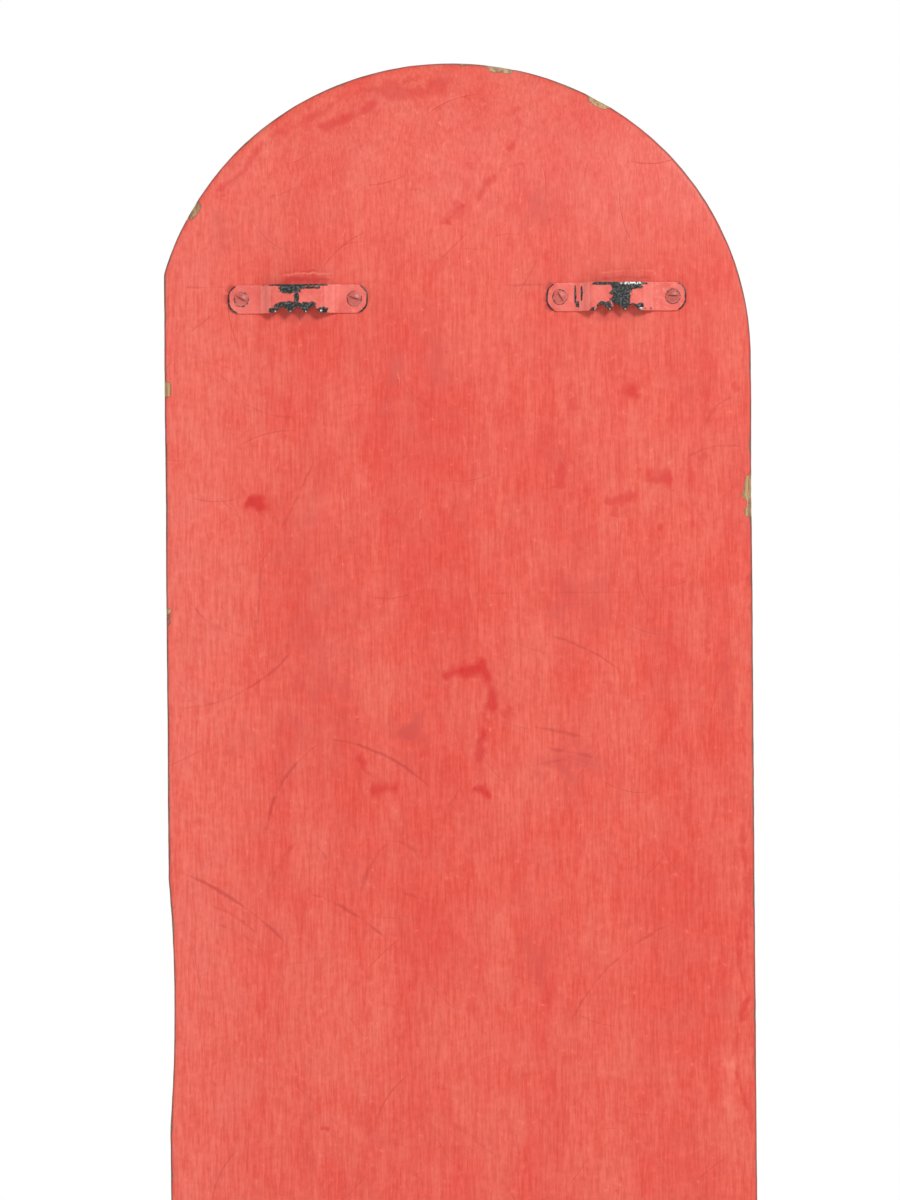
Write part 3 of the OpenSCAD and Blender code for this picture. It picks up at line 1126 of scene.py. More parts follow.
@dataclass
class Plank:
    """The bent board with its round nose."""

    bend_radius: float = 0.316
    bend_start: float = 0.013
    tail_corner: float = 0.020
    hollow_z: float = -0.338
    hollow_length: float = 0.120
    hollow_depth: float = 0.0025
    edge_step: float = 0.0018
    grid_step: float = 0.0055
    rim_width: float = 0.0060
    arris: float = 0.0013
    face_levels: int = 3
    nose_points: int = 180
    side_points: int = 500
    slow_drift: float = 0.00018
    quick_drift: float = 0.00010
    wave: float = 0.00016
    ripple: float = 0.00005
    seat_rub: float = 0.56
    seats: tuple[tuple[float, float, float], ...] = (
        (0.0, -0.53, 0.15), (0.0, -0.86, 0.13), (0.05, -0.20, 0.10), (-0.04, 0.04, 0.09)
    )
    seed: float = 3.7
    chips: tuple[EdgeChip, ...] = (
        EdgeChip(Edge.RIGHT, -90, 15, 2.8),
        EdgeChip(Edge.RIGHT, -100, 8, 1.2),
        EdgeChip(Edge.RIGHT, -560, 25, 3.0),
        EdgeChip(Edge.RIGHT, -905, 15, 2.2),
        EdgeChip(Edge.NOSE, 60, 12, 1.8),
        EdgeChip(Edge.NOSE, 80, 14, 1.6),
        EdgeChip(Edge.NOSE, 150, 12, 1.4),
        EdgeChip(Edge.LEFT, -40, 10, 1.2),
        EdgeChip(Edge.LEFT, -150, 15, 0.8),
        EdgeChip(Edge.LEFT, -720, 30, 2.6),
        EdgeChip(Edge.TAIL, -130, 25, 4.0),
        EdgeChip(Edge.TAIL, 60, 20, 2.8),
        EdgeChip(Edge.TAIL, 135, 15, 3.6),
    )

    def __post_init__(self) -> None:
        """Takes the board's box from the frame."""
        low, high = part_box("plank")
        self.half_width = high[0]
        self.tail_z = low[2]
        self.running_y = low[1]
        self.deck_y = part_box("batten_front")[0][1]
        self.thickness = self.deck_y - self.running_y

    def corner_path(self) -> list[Vector]:
        """Walks once round the board, right side up first.

        Returns:
            Closely set flat points (x, z).
        """
        arc_end = math.degrees(math.acos((-self.half_width / MM - NOSE_MIDDLE[0]) / NOSE_RADIUS))
        corner = self.tail_corner
        bows = []
        for side in (1, -1):
            middle = Vector((side * (self.half_width - corner), self.tail_z + corner))
            arc = [math.radians(degrees) for degrees in range(-90, 1, 3)]
            bows.append([middle + corner * Vector((side * math.cos(a), math.sin(a))) for a in arc])
        steps = self.nose_points
        nose = [Vector(on_nose(arc_end * i / steps, 0.0)) * MM for i in range(steps + 1)]
        top = nose[-1].y
        left = []
        for i in range(1, self.side_points):
            z = top + (self.tail_z + corner - top) * i / self.side_points
            left.append(Vector((-self.half_width + self.hollow(z), z)))
        return bows[0] + nose + left + bows[1][::-1]

    def hollow(self, z: float) -> float:
        """How far the left edge is cut in, along a flat arc.

        Args:
            z: the height.

        Returns:
            The cut, in metres.
        """
        half = self.hollow_length / 2
        away = min(1.0, abs(z - self.hollow_z) / half)
        return self.hollow_depth * (1.0 - away * away)

    def outline(self) -> list[Vector]:
        """Sets points evenly round the board and lets the edge wander a little inwards.

        Returns:
            Flat points (x, z), anticlockwise seen from the running side.
        """
        path = self.corner_path()
        path.append(path[0])
        marks = [0.0]
        for first, second in zip(path, path[1:]):
            marks.append(marks[-1] + (second - first).length)
        count = round(marks[-1] / self.edge_step)
        points, index = [], 0
        for i in range(count):
            goal = marks[-1] * i / count
            while marks[index + 1] < goal:
                index += 1
            share = (goal - marks[index]) / (marks[index + 1] - marks[index])
            points.append(path[index].lerp(path[index + 1], share))
        inward = self.inward(points)
        worn = []
        for point, way in zip(points, inward):
            slow = noise.noise(Vector((point.x, point.y, self.seed)) * 25)
            quick = noise.noise(Vector((point.x, point.y, self.seed)) * 160)
            worn.append(point + way * (self.slow_drift * (1 + slow) + self.quick_drift * (1 + quick)))
        return worn

    def inward(self, points: list[Vector]) -> list[Vector]:
        """Finds the way in from a closed outline.

        Args:
            points: the outline's points.

        Returns:
            The inward direction at each point.
        """
        ways = []
        for i in range(len(points)):
            run = points[(i + 1) % len(points)] - points[i - 1]
            ways.append(Vector((-run.y, run.x)).normalized())
        return ways

    def place(self, flat: Vector, depth: float) -> Vector:
        """Bends the nose: the place of a flat point at a depth below the running face.

        Args:
            flat: the point (x, z).
            depth: how far it lies behind the running face, from 0 to the thickness.

        Returns:
            The point in space.
        """
        if flat.y <= self.bend_start:
            return Vector((flat.x, self.running_y + depth, flat.y))
        radius = self.bend_radius - depth
        rise = flat.y - self.bend_start
        back = self.running_y + self.bend_radius - math.sqrt(radius * radius - rise * rise)
        return Vector((flat.x, back, flat.y))

    def bite(self, flat: Vector) -> float:
        """How deep the chips bite at a point of the outline.

        Args:
            flat: the point.

        Returns:
            The depth, in metres.
        """
        deepest = 0.0
        for chip in self.chips:
            away = (flat - chip.middle(self.half_width, self.tail_z)).length
            ragged = 1 + 1.2 * noise.noise(Vector((flat.x, flat.y, self.seed)) * 380)
            deepest = max(deepest, chip.bite * MM * ragged * bump_of(away, chip.length * MM * 0.62))
        return deepest

    def rings(self, flat: Vector) -> list[tuple[float, float, float, float]]:
        """The section round the edge at one point of the outline.

        Args:
            flat: the outline's point.

        Returns:
            Inset, depth, wear and grime of each step, from the running face to the deck.
        """
        bite = self.bite(flat)
        ragged = noise.noise(Vector((flat.x, flat.y, self.seed + 5)) * 60)
        front = self.arris * (1 + 0.35 * ragged) + bite
        back = self.arris * (1.25 - 0.35 * ragged)
        worn = min(1.0, bite / (0.6 * MM))
        clean = 1.0 - worn
        blend = front + 0.35 * (self.rim_width - front)
        steps = [(self.rim_width, 0.0, 0.0, 0.0), (blend, 0.0, 0.12 + 0.45 * worn, 0.0)]
        turns = ((0, 0.42, 0.05), (30, 0.62, 0.35), (60, 0.80, 0.85), (90, 0.80, 0.95))
        for degrees, wear, grime in turns:
            angle = math.radians(degrees)
            inset, depth = front * (1 - math.sin(angle)), front * (1 - math.cos(angle))
            steps.append((inset, depth, max(wear, worn), grime * clean))
        for share in (0.25, 0.5, 0.75):
            depth = front + (self.thickness - front - back) * share
            steps.append((0.0, depth, 0.48, 0.35))
        turns = ((90, 0.70, 0.6), (60, 0.84, 0.4), (30, 0.70, 0.1), (0, 0.45, 0.0))
        for degrees, wear, grime in turns:
            angle = math.radians(degrees)
            inset, depth = back * (1 - math.sin(angle)), self.thickness - back * (1 - math.cos(angle))
            steps.append((inset, depth, wear, grime))
        steps.append((back + 0.35 * (self.rim_width - back), self.thickness, 0.25, 0.0))
        steps.append((self.rim_width, self.thickness, 0.12, 0.0))
        return steps

    def fill(self, rim: list[Vector]) -> tuple[list[Vector], list[list[int]]]:
        """Fills the outline inside the rim with an even net of triangles.

        Args:
            rim: the innermost ring, flat.

        Returns:
            The flat points, the rim's first, and the triangles.
        """
        margin = self.grid_step * 0.6
        low = min(p.y for p in rim) + margin
        high = max(p.y for p in rim) - margin
        points = list(rim)
        rows = round((high - low) / self.grid_step)
        for row in range(rows + 1):
            z = low + (high - low) * row / rows
            crossings = []
            for first, second in zip(rim, rim[1:] + rim[:1]):
                if (first.y > z) != (second.y > z):
                    share = (z - first.y) / (second.y - first.y)
                    crossings.append(first.x + (second.x - first.x) * share)
            left = min(crossings) + margin
            right = max(crossings) - margin
            count = max(1, round((right - left) / self.grid_step))
            points += [Vector((left + (right - left) * i / count, z)) for i in range(count + 1)]
        found = delaunay_2d_cdt(points, [], [list(range(len(rim)))], 1, 1e-7)
        return [Vector(p) for p in found[0]], [list(face) for face in found[2]]

    def seat_wear(self, flat: Vector) -> float:
        """How much riders have rubbed the deck.

        Args:
            flat: a point on the deck.

        Returns:
            The wear, from 0 to 1.
        """
        rubs = [bump_of((flat - Vector((x, z))).length, reach) for x, z, reach in self.seats]
        return self.seat_rub * max(rubs)

    def relief(self, flat: Vector) -> float:
        """The slow waves of a hand-planed face.

        Args:
            flat: a point on the face.

        Returns:
            Their height, in metres.
        """
        slow = Vector((flat.x * 14, flat.y * 3.5, self.seed))
        quick = Vector((flat.x * 55, flat.y * 9, self.seed))
        return self.wave * noise.noise(slow) + self.ripple * noise.noise(quick)

    def build(self) -> Piece:
        """Builds the board's mesh.

        Returns:
            The piece.
        """
        outline = self.outline()
        inward = self.inward(outline)
        count = len(outline)
        sections = [self.rings(point) for point in outline]
        levels = len(sections[0])
        points, wear, grime, running, faces = [], [], [], [], []
        for level in range(levels):
            for point, way, section in zip(outline, inward, sections):
                inset, depth, worn, soiled = section[level]
                points.append(self.place(point + way * inset, depth))
                wear.append(worn)
                grime.append(soiled)
                running.append(1.0 if level < self.face_levels else 0.0)
        for level in range(levels - 1):
            for i in range(count):
                j = (i + 1) % count
                a, b = level * count, (level + 1) * count
                faces.append((a + i, b + i, b + j, a + j))
        rim = [point + way * self.rim_width for point, way in zip(outline, inward)]
        net, triangles = self.fill(rim)
        for side, depth in ((0, 0.0), (1, self.thickness)):
            start = len(points)
            base = (levels - 1) * count * side
            for flat in net[count:]:
                here = self.place(flat, depth)
                here.y += self.relief(flat)
                points.append(here)
                wear.append(self.seat_wear(flat) if side else 0.0)
                grime.append(0.0)
                running.append(1.0 - side)
            for triangle in triangles:
                corners = [base + v if v < count else start + v - count for v in triangle]
                faces.append(tuple(corners if side == 0 else reversed(corners)))
        mesh = bpy.data.meshes.new("plank_board")
        mesh.from_pydata(points, [], faces)
        paint_points(mesh, "wear", wear)
        paint_points(mesh, "grime", grime)
        paint_points(mesh, "running_face", running)
        self.face_outwards(mesh)
        marks = face_marks()
        for form in MARK_LAYERS:
            form.store(mesh, marks)
        soften(mesh, 50)
        return mesh_piece("plank_board", mesh)

    def face_outwards(self, mesh: Mesh) -> None:
        """Turns every face of the closed mesh outwards.

        Args:
            mesh: the mesh.
        """
        work = bmesh.new()
        work.from_mesh(mesh)
        bmesh.ops.recalc_face_normals(work, faces=work.faces)
        work.to_mesh(mesh)
        work.free()

    def dress(self, piece: Piece) -> None:
        """Gives the board its enamel and ties it to the frame."""
        piece.data.materials.append(WoodEnamel("plank_enamel", marked=True).material())
        fit_and_report(piece, ["plank"])


# ---- geometry-node base ------------------------------------------


class PatternPiece:
    """A piece that a Geometry Nodes tree repeats at given points."""

    def __init__(self, name: str, points: list[Vector], turns: list[float] | None = None) -> None:
        """Makes the points that the tree reads.

        Args:
            name: the piece's name.
            points: where each copy stands.
            turns: how far each copy is turned about Y, or None.
        """
        mesh = bpy.data.meshes.new(name + "_points")
        mesh.from_pydata(points, [], [])
        paint_points(mesh, "turn", turns or [0.0] * len(points))
        self.piece = mesh_piece(name, mesh)

    def grow(self, tree: Tree, sizes: dict[str, object]) -> Piece:
        """Runs the tree and keeps its mesh.

        Args:
            tree: the Geometry Nodes tree.
            sizes: its inputs by name.

        Returns:
            The finished piece.
        """
        modifier = self.piece.modifiers.new("pattern", "NODES")
        modifier.node_group = tree
        for item in tree.interface.items_tree:
            if item.in_out == "INPUT" and item.name in sizes:
                modifier[item.identifier] = sizes[item.name]
        return settled(self.piece)


def pattern_tree(name: str, sizes: dict[str, object]) -> tuple[NodeBoard, Sockets, Sockets]:
    """Starts a pattern tree that takes points and one input for each size.

    Args:
        name: the tree's name.
        sizes: what its inputs will be given, by name.

    Returns:
        A board on the tree, the sockets that give its inputs and the sockets that take its outputs.
    """
    kinds = {float: FLOAT, tuple: VECTOR, bpy.types.Material: MATERIAL}
    inputs = {"Geometry": GEOMETRY} | {label: kinds[type(size)] for label, size in sizes.items()}
    return new_tree(name, "GeometryNodeTree", inputs, {"Geometry": GEOMETRY})


def note(board: NodeBoard, mesh: Feed, name: str, value: Feed) -> Socket:
    """Stores a number on a mesh's points inside a pattern tree.

    Args:
        board: the tree's board.
        mesh: the mesh.
        name: the attribute's name.
        value: the number.

    Returns:
        The mesh with the attribute.
    """
    feeds = {"Geometry": mesh, "Name": name, "Value": value}
    return board.add("GeometryNodeStoreNamedAttribute", feeds, data_type="FLOAT", domain="POINT")[0]


def carve(board: NodeBoard, mesh: Feed, tool: Feed) -> Socket:
    """Cuts one solid mesh out of another inside a pattern tree.

    Args:
        board: the tree's board.
        mesh: the mesh to cut.
        tool: the mesh to cut away.

    Returns:
        The cut mesh.
    """
    meshes = {"Mesh 1": mesh, "Mesh 2": tool}
    return board.add("GeometryNodeMeshBoolean", meshes, operation="DIFFERENCE", solver="EXACT")["Mesh"]


def finish_tree(
    board: NodeBoard, given: Sockets, result: Sockets, copy: Feed, facing: Feed, dent: Feed
) -> Tree:
    """Ends a pattern tree: copies on the points, real geometry, small dents and the material.

    Args:
        board: the tree's board.
        given: the sockets that give its inputs.
        result: the sockets that take its outputs.
        copy: the geometry to repeat.
        facing: the turn of every copy about Z.
        dent: how deep the dents are, in metres.

    Returns:
        The finished tree.
    """
    turn = board.add("GeometryNodeInputNamedAttribute", {"Name": "turn"}, data_type="FLOAT")
    way = board.join(Y=turn["Attribute"], Z=facing)
    laid = board.add(
        "GeometryNodeInstanceOnPoints",
        {"Points": given["Geometry"], "Instance": copy, "Rotation": way},
    )
    real = board.add("GeometryNodeRealizeInstances", {"Geometry": laid[0]})
    place = board.add("GeometryNodeInputPosition")[0]
    scale = given["Dent Scale"]
    feeds = {"Vector": place, "W": given["Seed"], "Scale": scale, "Detail": 3.0}
    lumps = board.add("ShaderNodeTexNoise", feeds, noise_dimensions="4D")[0]
    depth = board.times(board.maths("SUBTRACT", lumps, 0.5), dent)
    push = board.scaled(board.add("GeometryNodeInputNormal")[0], depth)
    dented = board.add("GeometryNodeSetPosition", {"Geometry": real[0], "Offset": push})
    painted = board.add("GeometryNodeSetMaterial", {"Geometry": dented[0], "Material": given["Material"]})
    board.feed(result["Geometry"], painted[0])
    return board.tree


# ---- battens -----------------------------------------------------


@dataclass
class DeckBattens:
    """The four cross battens on the deck, with rope holes at their ends and sunk screw holes."""

    names: tuple[str, ...] = ("nose", "front", "rear", "tail")
    edge_radius: float = 0.0032
    hole_radius: float = 0.0045
    hole_reach: float = 0.115
    sink_radius: float = 0.0044
    sink_depth: float = 0.0030
    screw_spread: float = 0.095
    grid: tuple[int, int, int] = (132, 13, 21)
    corner_wear: float = 2.6
    top_wear: float = 0.30
    drill_length: float = 0.1
    drill_sides: int = 40
    sink_sides: int = 32
    clearance: float = 0.00001
    dent: float = 0.0005
    dent_scale: float = 45.0
    seed: int = 11

    def tree(self, sizes: dict[str, object]) -> Tree:
        """Builds the pattern: one rounded, drilled batten, repeated along the board.

        Args:
            sizes: what the tree's inputs will be given, by name.

        Returns:
            The Geometry Nodes tree.
        """
        board, given, result = pattern_tree("deck_battens", sizes)
        counts = {f"Vertices {axis}": count for axis, count in zip("XYZ", self.grid)}
        block = board.add("GeometryNodeMeshCube", {"Size": given["Size"], **counts})
        rounded = self.round_edges(board, given, block[0])
        bored = self.bore(board, given, rounded)
        return finish_tree(board, given, result, bored, 0.0, given["Dent"])

    def round_edges(self, board: NodeBoard, given: Sockets, block: Feed) -> Socket:
        """Pulls a block's edges and corners in to a radius, and stores how exposed they are.

        Args:
            board: the tree's board.
            given: the sockets that give its inputs.
            block: the block's mesh.

        Returns:
            The rounded block's mesh.
        """
        place = board.add("GeometryNodeInputPosition")[0]
        radius = given["Edge Radius"]
        half = board.scaled(given["Size"], 0.5)
        core = board.vectors("SUBTRACT", half, board.join(X=radius, Y=radius, Z=radius))
        under = board.vectors("MULTIPLY", core, (-1.0, -1.0, -1.0))
        held = board.vectors("MINIMUM", board.vectors("MAXIMUM", place, under), core)
        out = board.vectors("NORMALIZE", board.vectors("SUBTRACT", place, held))
        target = board.vectors("ADD", held, board.scaled(out, radius))
        parts = board.split(board.vectors("ABSOLUTE", out))
        main = board.maths("MAXIMUM", parts["X"], board.maths("MAXIMUM", parts["Y"], parts["Z"]))
        exposed = board.times(board.maths("SUBTRACT", 1.0, main), self.corner_wear)
        top = board.times(board.split(out)["Y"], self.top_wear)
        noted = note(board, block, "wear", board.maths("MAXIMUM", exposed, top, clamp=True))
        return board.add("GeometryNodeSetPosition", {"Geometry": noted, "Position": target})[0]

    def bore(self, board: NodeBoard, given: Sockets, block: Feed) -> Socket:
        """Drills the rope holes and sinks the screw holes.

        Args:
            board: the tree's board.
            given: the sockets that give its inputs.
            block: the rounded block's mesh.

        Returns:
            The drilled mesh.
        """
        round_drill = {
            "Vertices": self.drill_sides, "Radius": given["Hole Radius"], "Depth": self.drill_length
        }
        drill = board.add("GeometryNodeMeshCylinder", round_drill)["Mesh"]
        pointed_drill = {
            "Vertices": self.sink_sides, "Radius Top": 0.0, "Radius Bottom": given["Sink Radius"],
            "Depth": given["Sink Depth"],
        }
        cone = board.add("GeometryNodeMeshCone", pointed_drill)["Mesh"]
        top = board.times(board.split(given["Size"])["Y"], 0.5)
        high = board.join(Y=board.maths("ADD", top, self.clearance))
        pose = {"Geometry": cone, "Translation": high, "Rotation": (math.pi / 2, 0.0, 0.0)}
        tipped = board.add("GeometryNodeTransform", pose)[0]
        across = board.times(given["Hole Reach"], 2.0)
        spread = board.times(given["Screw Spread"], 2.0)
        drilled = carve(board, block, self.row(board, drill, across, 2))
        return carve(board, drilled, self.row(board, tipped, spread, 3))

    def row(self, board: NodeBoard, tool: Feed, length: Feed, count: int) -> Socket:
        """Repeats a cutting shape along X.

        Args:
            board: the tree's board.
            tool: the shape.
            length: from the first copy to the last.
            count: how many copies there are.

        Returns:
            The copies as one real mesh.
        """
        start = board.join(X=board.times(length, -0.5))
        step = board.join(X=board.maths("DIVIDE", length, float(count - 1)))
        line = board.add("GeometryNodeMeshLine", {"Count": count, "Start Location": start, "Offset": step})
        laid = board.add("GeometryNodeInstanceOnPoints", {"Points": line[0], "Instance": tool})
        return board.add("GeometryNodeRealizeInstances", {"Geometry": laid[0]})[0]

    def build(self) -> Piece:
        """Builds the four battens as one piece.

        Returns:
            The piece.
        """
        nodes = [f"batten_{name}" for name in self.names]
        low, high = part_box(nodes[0])
        size = Vector(high) - Vector(low)
        finish = WoodEnamel("batten_enamel", grain_turn=(0.0, math.pi / 2, 0.0), reach=0.72)
        sizes = {
            "Size": tuple(size), "Edge Radius": self.edge_radius, "Hole Radius": self.hole_radius,
            "Hole Reach": self.hole_reach, "Sink Radius": self.sink_radius,
            "Sink Depth": self.sink_depth * 2, "Screw Spread": self.screw_spread, "Dent": self.dent,
            "Dent Scale": self.dent_scale, "Seed": float(self.seed), "Material": finish.material(),
        }
        points = PatternPiece("deck_battens", [node_centre(name) for name in nodes])
        piece = points.grow(self.tree(sizes), sizes)
        soften(piece.data, 40)
        fit_and_report(piece, nodes)
        return piece


# ---- screws ------------------------------------------------------


@dataclass(frozen=True)
class ScrewShape:
    """A slotted wood screw.

    The profile's points are a share of the walk along it, of the head's radius and of the length.
    """

    head_radius: float
    length: float
    slot_width: float
    slot_depth: float
    profile: tuple[tuple[float, float, float], ...]
    thread_pitch: float = 0.0018
    thread_depth: float = 0.00035


DOMED = (
    (0.00, 0.00, 0.000), (0.06, 0.38, 0.012), (0.12, 0.70, 0.045), (0.18, 0.92, 0.090),
    (0.22, 1.00, 0.125), (0.25, 0.98, 0.140), (0.30, 0.55, 0.150), (0.34, 0.50, 0.170),
    (0.90, 0.44, 0.880), (1.00, 0.00, 1.000),
)
SUNK = (
    (0.00, 0.00, 0.000), (0.05, 0.45, 0.001), (0.10, 0.90, 0.003), (0.13, 1.00, 0.008),
    (0.15, 0.98, 0.018), (0.22, 0.52, 0.068), (0.26, 0.48, 0.090), (0.60, 0.48, 0.500),
    (0.92, 0.40, 0.930), (1.00, 0.00, 1.000),
)


@dataclass
class SlottedScrews:
    """A set of alike screws, one at each of its nodes."""

    name: str
    shape: ScrewShape
    nodes: list[str]
    turns: list[float]
    slot: str
    faces_deck: bool
    finish: SteelEnamel
    steps_round: int = 33
    steps_along: int = 120
    weld: float = 0.00002
    slot_overhang: float = 2.6
    head_wear: float = 0.10
    rim_wear: float = 0.62
    rim_shine: float = 0.55
    coat_lumps: float = 0.00012
    lump_scale: float = 420.0
    seed: int = 5

    def curve(self, board: NodeBoard, walk: Feed, column: int) -> Socket:
        """Turns the walk along the profile into a radius (1) or a depth (2).

        Args:
            board: the tree's board.
            walk: how far along the profile, from 0 to 1.
            column: which number of the profile's points to read.

        Returns:
            The share of the head radius or of the length.
        """
        node = board.tree.nodes.new("ShaderNodeFloatCurve")
        board.feed(node.inputs["Value"], walk)
        line = node.mapping.curves[0]
        for point in self.shape.profile[1:-1]:
            line.points.new(point[0], point[column])
        line.points[0].location = (self.shape.profile[0][0], self.shape.profile[0][column])
        line.points[-1].location = (self.shape.profile[-1][0], self.shape.profile[-1][column])
        for point in line.points:
            point.handle_type = "VECTOR"
        node.mapping.update()
        return node.outputs[0]

    def tree(self, sizes: dict[str, object]) -> Tree:
        """Builds the pattern: one turned, threaded and slotted screw, repeated at its places.

        Args:
            sizes: what the tree's inputs will be given, by name.

        Returns:
            The Geometry Nodes tree.
        """
        board, given, result = pattern_tree(self.name, sizes)
        counts = {"Vertices X": self.steps_round, "Vertices Y": self.steps_along}
        sheet = board.add("GeometryNodeMeshGrid", {"Size X": 1.0, "Size Y": 1.0, **counts})
        spot = board.split(board.add("GeometryNodeInputPosition")[0])
        angle = board.times(spot["X"], math.tau)
        walk = board.maths("ADD", spot["Y"], 0.5, clamp=True)
        depth = board.times(self.curve(board, walk, 2), given["Length"])
        plain = board.times(self.curve(board, walk, 1), given["Head Radius"])
        climb = board.maths("DIVIDE", depth, given["Thread Pitch"])
        turns = board.maths("DIVIDE", angle, math.tau)
        wave = board.maths("PINGPONG", board.maths("ADD", climb, turns), 0.5)
        threaded = board.times(board.ramp(walk, 0.40, 0.50), board.ramp(walk, 0.98, 0.90))
        cut = board.times(board.times(wave, threaded), given["Thread Depth"])
        radius = board.maths("SUBTRACT", plain, cut)
        x = board.times(radius, board.maths("COSINE", angle))
        z = board.times(radius, board.maths("SINE", board.times(angle, -1.0)))
        # rim: the head's outer edge; it sets the worn ring and the bright steel there, and the enamel paints
        # a highlight of paler enamel on it.
        rim = board.times(board.ramp(walk, 0.10, 0.20), board.ramp(walk, 0.32, 0.26))
        noted = note(board, sheet["Mesh"], "rim", rim)
        noted = note(board, noted, "wear", board.times_plus(rim, self.rim_wear, self.head_wear))
        noted = note(board, noted, "shine", board.times(rim, self.rim_shine))
        rolled = {"Geometry": noted, "Position": board.join(X=x, Y=depth, Z=z)}
        round_body = board.add("GeometryNodeSetPosition", rolled)[0]
        closed = board.add("GeometryNodeMergeByDistance", {"Geometry": round_body, "Distance": self.weld})
        bar_size = board.join(
            X=board.times(given["Head Radius"], self.slot_overhang),
            Y=board.times(given["Slot Depth"], 2.0),
            Z=given["Slot Width"],
        )
        bar = board.add("GeometryNodeMeshCube", {"Size": bar_size})["Mesh"]
        slotted = carve(board, closed[0], bar)
        return finish_tree(board, given, result, slotted, given["Facing"], given["Lumps"])

    def places(self) -> list[Vector]:
        """Finds the screws' places.

        Returns:
            Where the top of each head stands, in the middle of its node's box.
        """
        found = []
        for name in self.nodes:
            low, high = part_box(name)
            top = high[1] if self.faces_deck else low[1]
            found.append(Vector(((low[0] + high[0]) / 2, top, (low[2] + high[2]) / 2)))
        return found

    def build(self) -> Piece:
        """Builds the set as one piece.

        Returns:
            The piece.
        """
        shape = self.shape
        sizes = {
            "Head Radius": shape.head_radius, "Length": shape.length, "Slot Width": shape.slot_width,
            "Slot Depth": shape.slot_depth, "Thread Pitch": shape.thread_pitch,
            "Thread Depth": shape.thread_depth, "Lumps": self.coat_lumps, "Dent Scale": self.lump_scale,
            "Facing": math.pi if self.faces_deck else 0.0, "Seed": float(self.seed),
            "Material": self.finish.material(),
        }
        piece = PatternPiece(self.name, self.places(), self.turns).grow(self.tree(sizes), sizes)
        soften(piece.data, 38)
        fit_and_report(piece, self.nodes)
        return piece


def hanger_screws() -> SlottedScrews:
    """The four domed screws of the wall hangers, with their slots as they were left.

    Returns:
        The set.
    """
    slots = {"left_outer": -30, "left_inner": -18, "right_inner": -60, "right_outer": -3}
    nodes = [f"hanger_screw_{place}" for place in slots]
    low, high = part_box(nodes[0])
    shape = ScrewShape((high[0] - low[0]) / 2, high[1] - low[1], 0.0010, 0.0011, DOMED)
    turns = [math.radians(-degrees) for degrees in slots.values()]
    finish = SteelEnamel("screw_enamel", body=(0.560, 0.108, 0.086), deep=(0.400, 0.070, 0.056), reach=0.66)
    return SlottedScrews("hanger_screws", shape, nodes, turns, "screw_enamel", False, finish)


def batten_screws(battens: DeckBattens) -> SlottedScrews:
    """The twelve sunk screws of the battens, each slot turned on from the last.

    Args:
        battens: the battens that they hold.

    Returns:
        The set.
    """
    sides = ("left", "middle", "right")
    nodes = [f"batten_screw_{batten}_{side}" for batten in battens.names for side in sides]
    low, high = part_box(nodes[0])
    shape = ScrewShape(0.00405, high[1] - low[1], 0.0010, 0.0010, SUNK)
    turns = [math.radians(37 * i) for i in range(len(nodes))]
    finish = SteelEnamel(
        "batten_screw_enamel", body=(0.480, 0.075, 0.058), deep=(0.300, 0.045, 0.035), reach=0.34
    )
    return SlottedScrews("batten_screws", shape, nodes, turns, "screw_enamel", True, finish)


# ---- hangers -----------------------------------------------------


NOTCH_PITCH = 7.4
TOOTH_TIPS_UP = -6.2
PATCH_FADE = 1.6


@dataclass(frozen=True)
class WornPatch:
    """A place on a strap where the coat is gone, in millimetres from the strap's middle."""

    across: float
    up: float
    half_width: float
    half_height: float
    worn: float = 1.0
    shine: float = 0.0

    def at(self, across: float, up: float) -> float:
        """How much of the patch reaches a point of the strap.

        Args:
            across: the point's distance from the strap's middle.
            up: its height above the middle.

        Returns:
            The share, from 0 to 1.
        """
        sideways = abs(across - self.across) / self.half_width
        upwards = abs(up - self.up) / self.half_height
        away = (sideways ** 3 + upwards ** 3) ** (1 / 3)
        return clamped(PATCH_FADE - away)


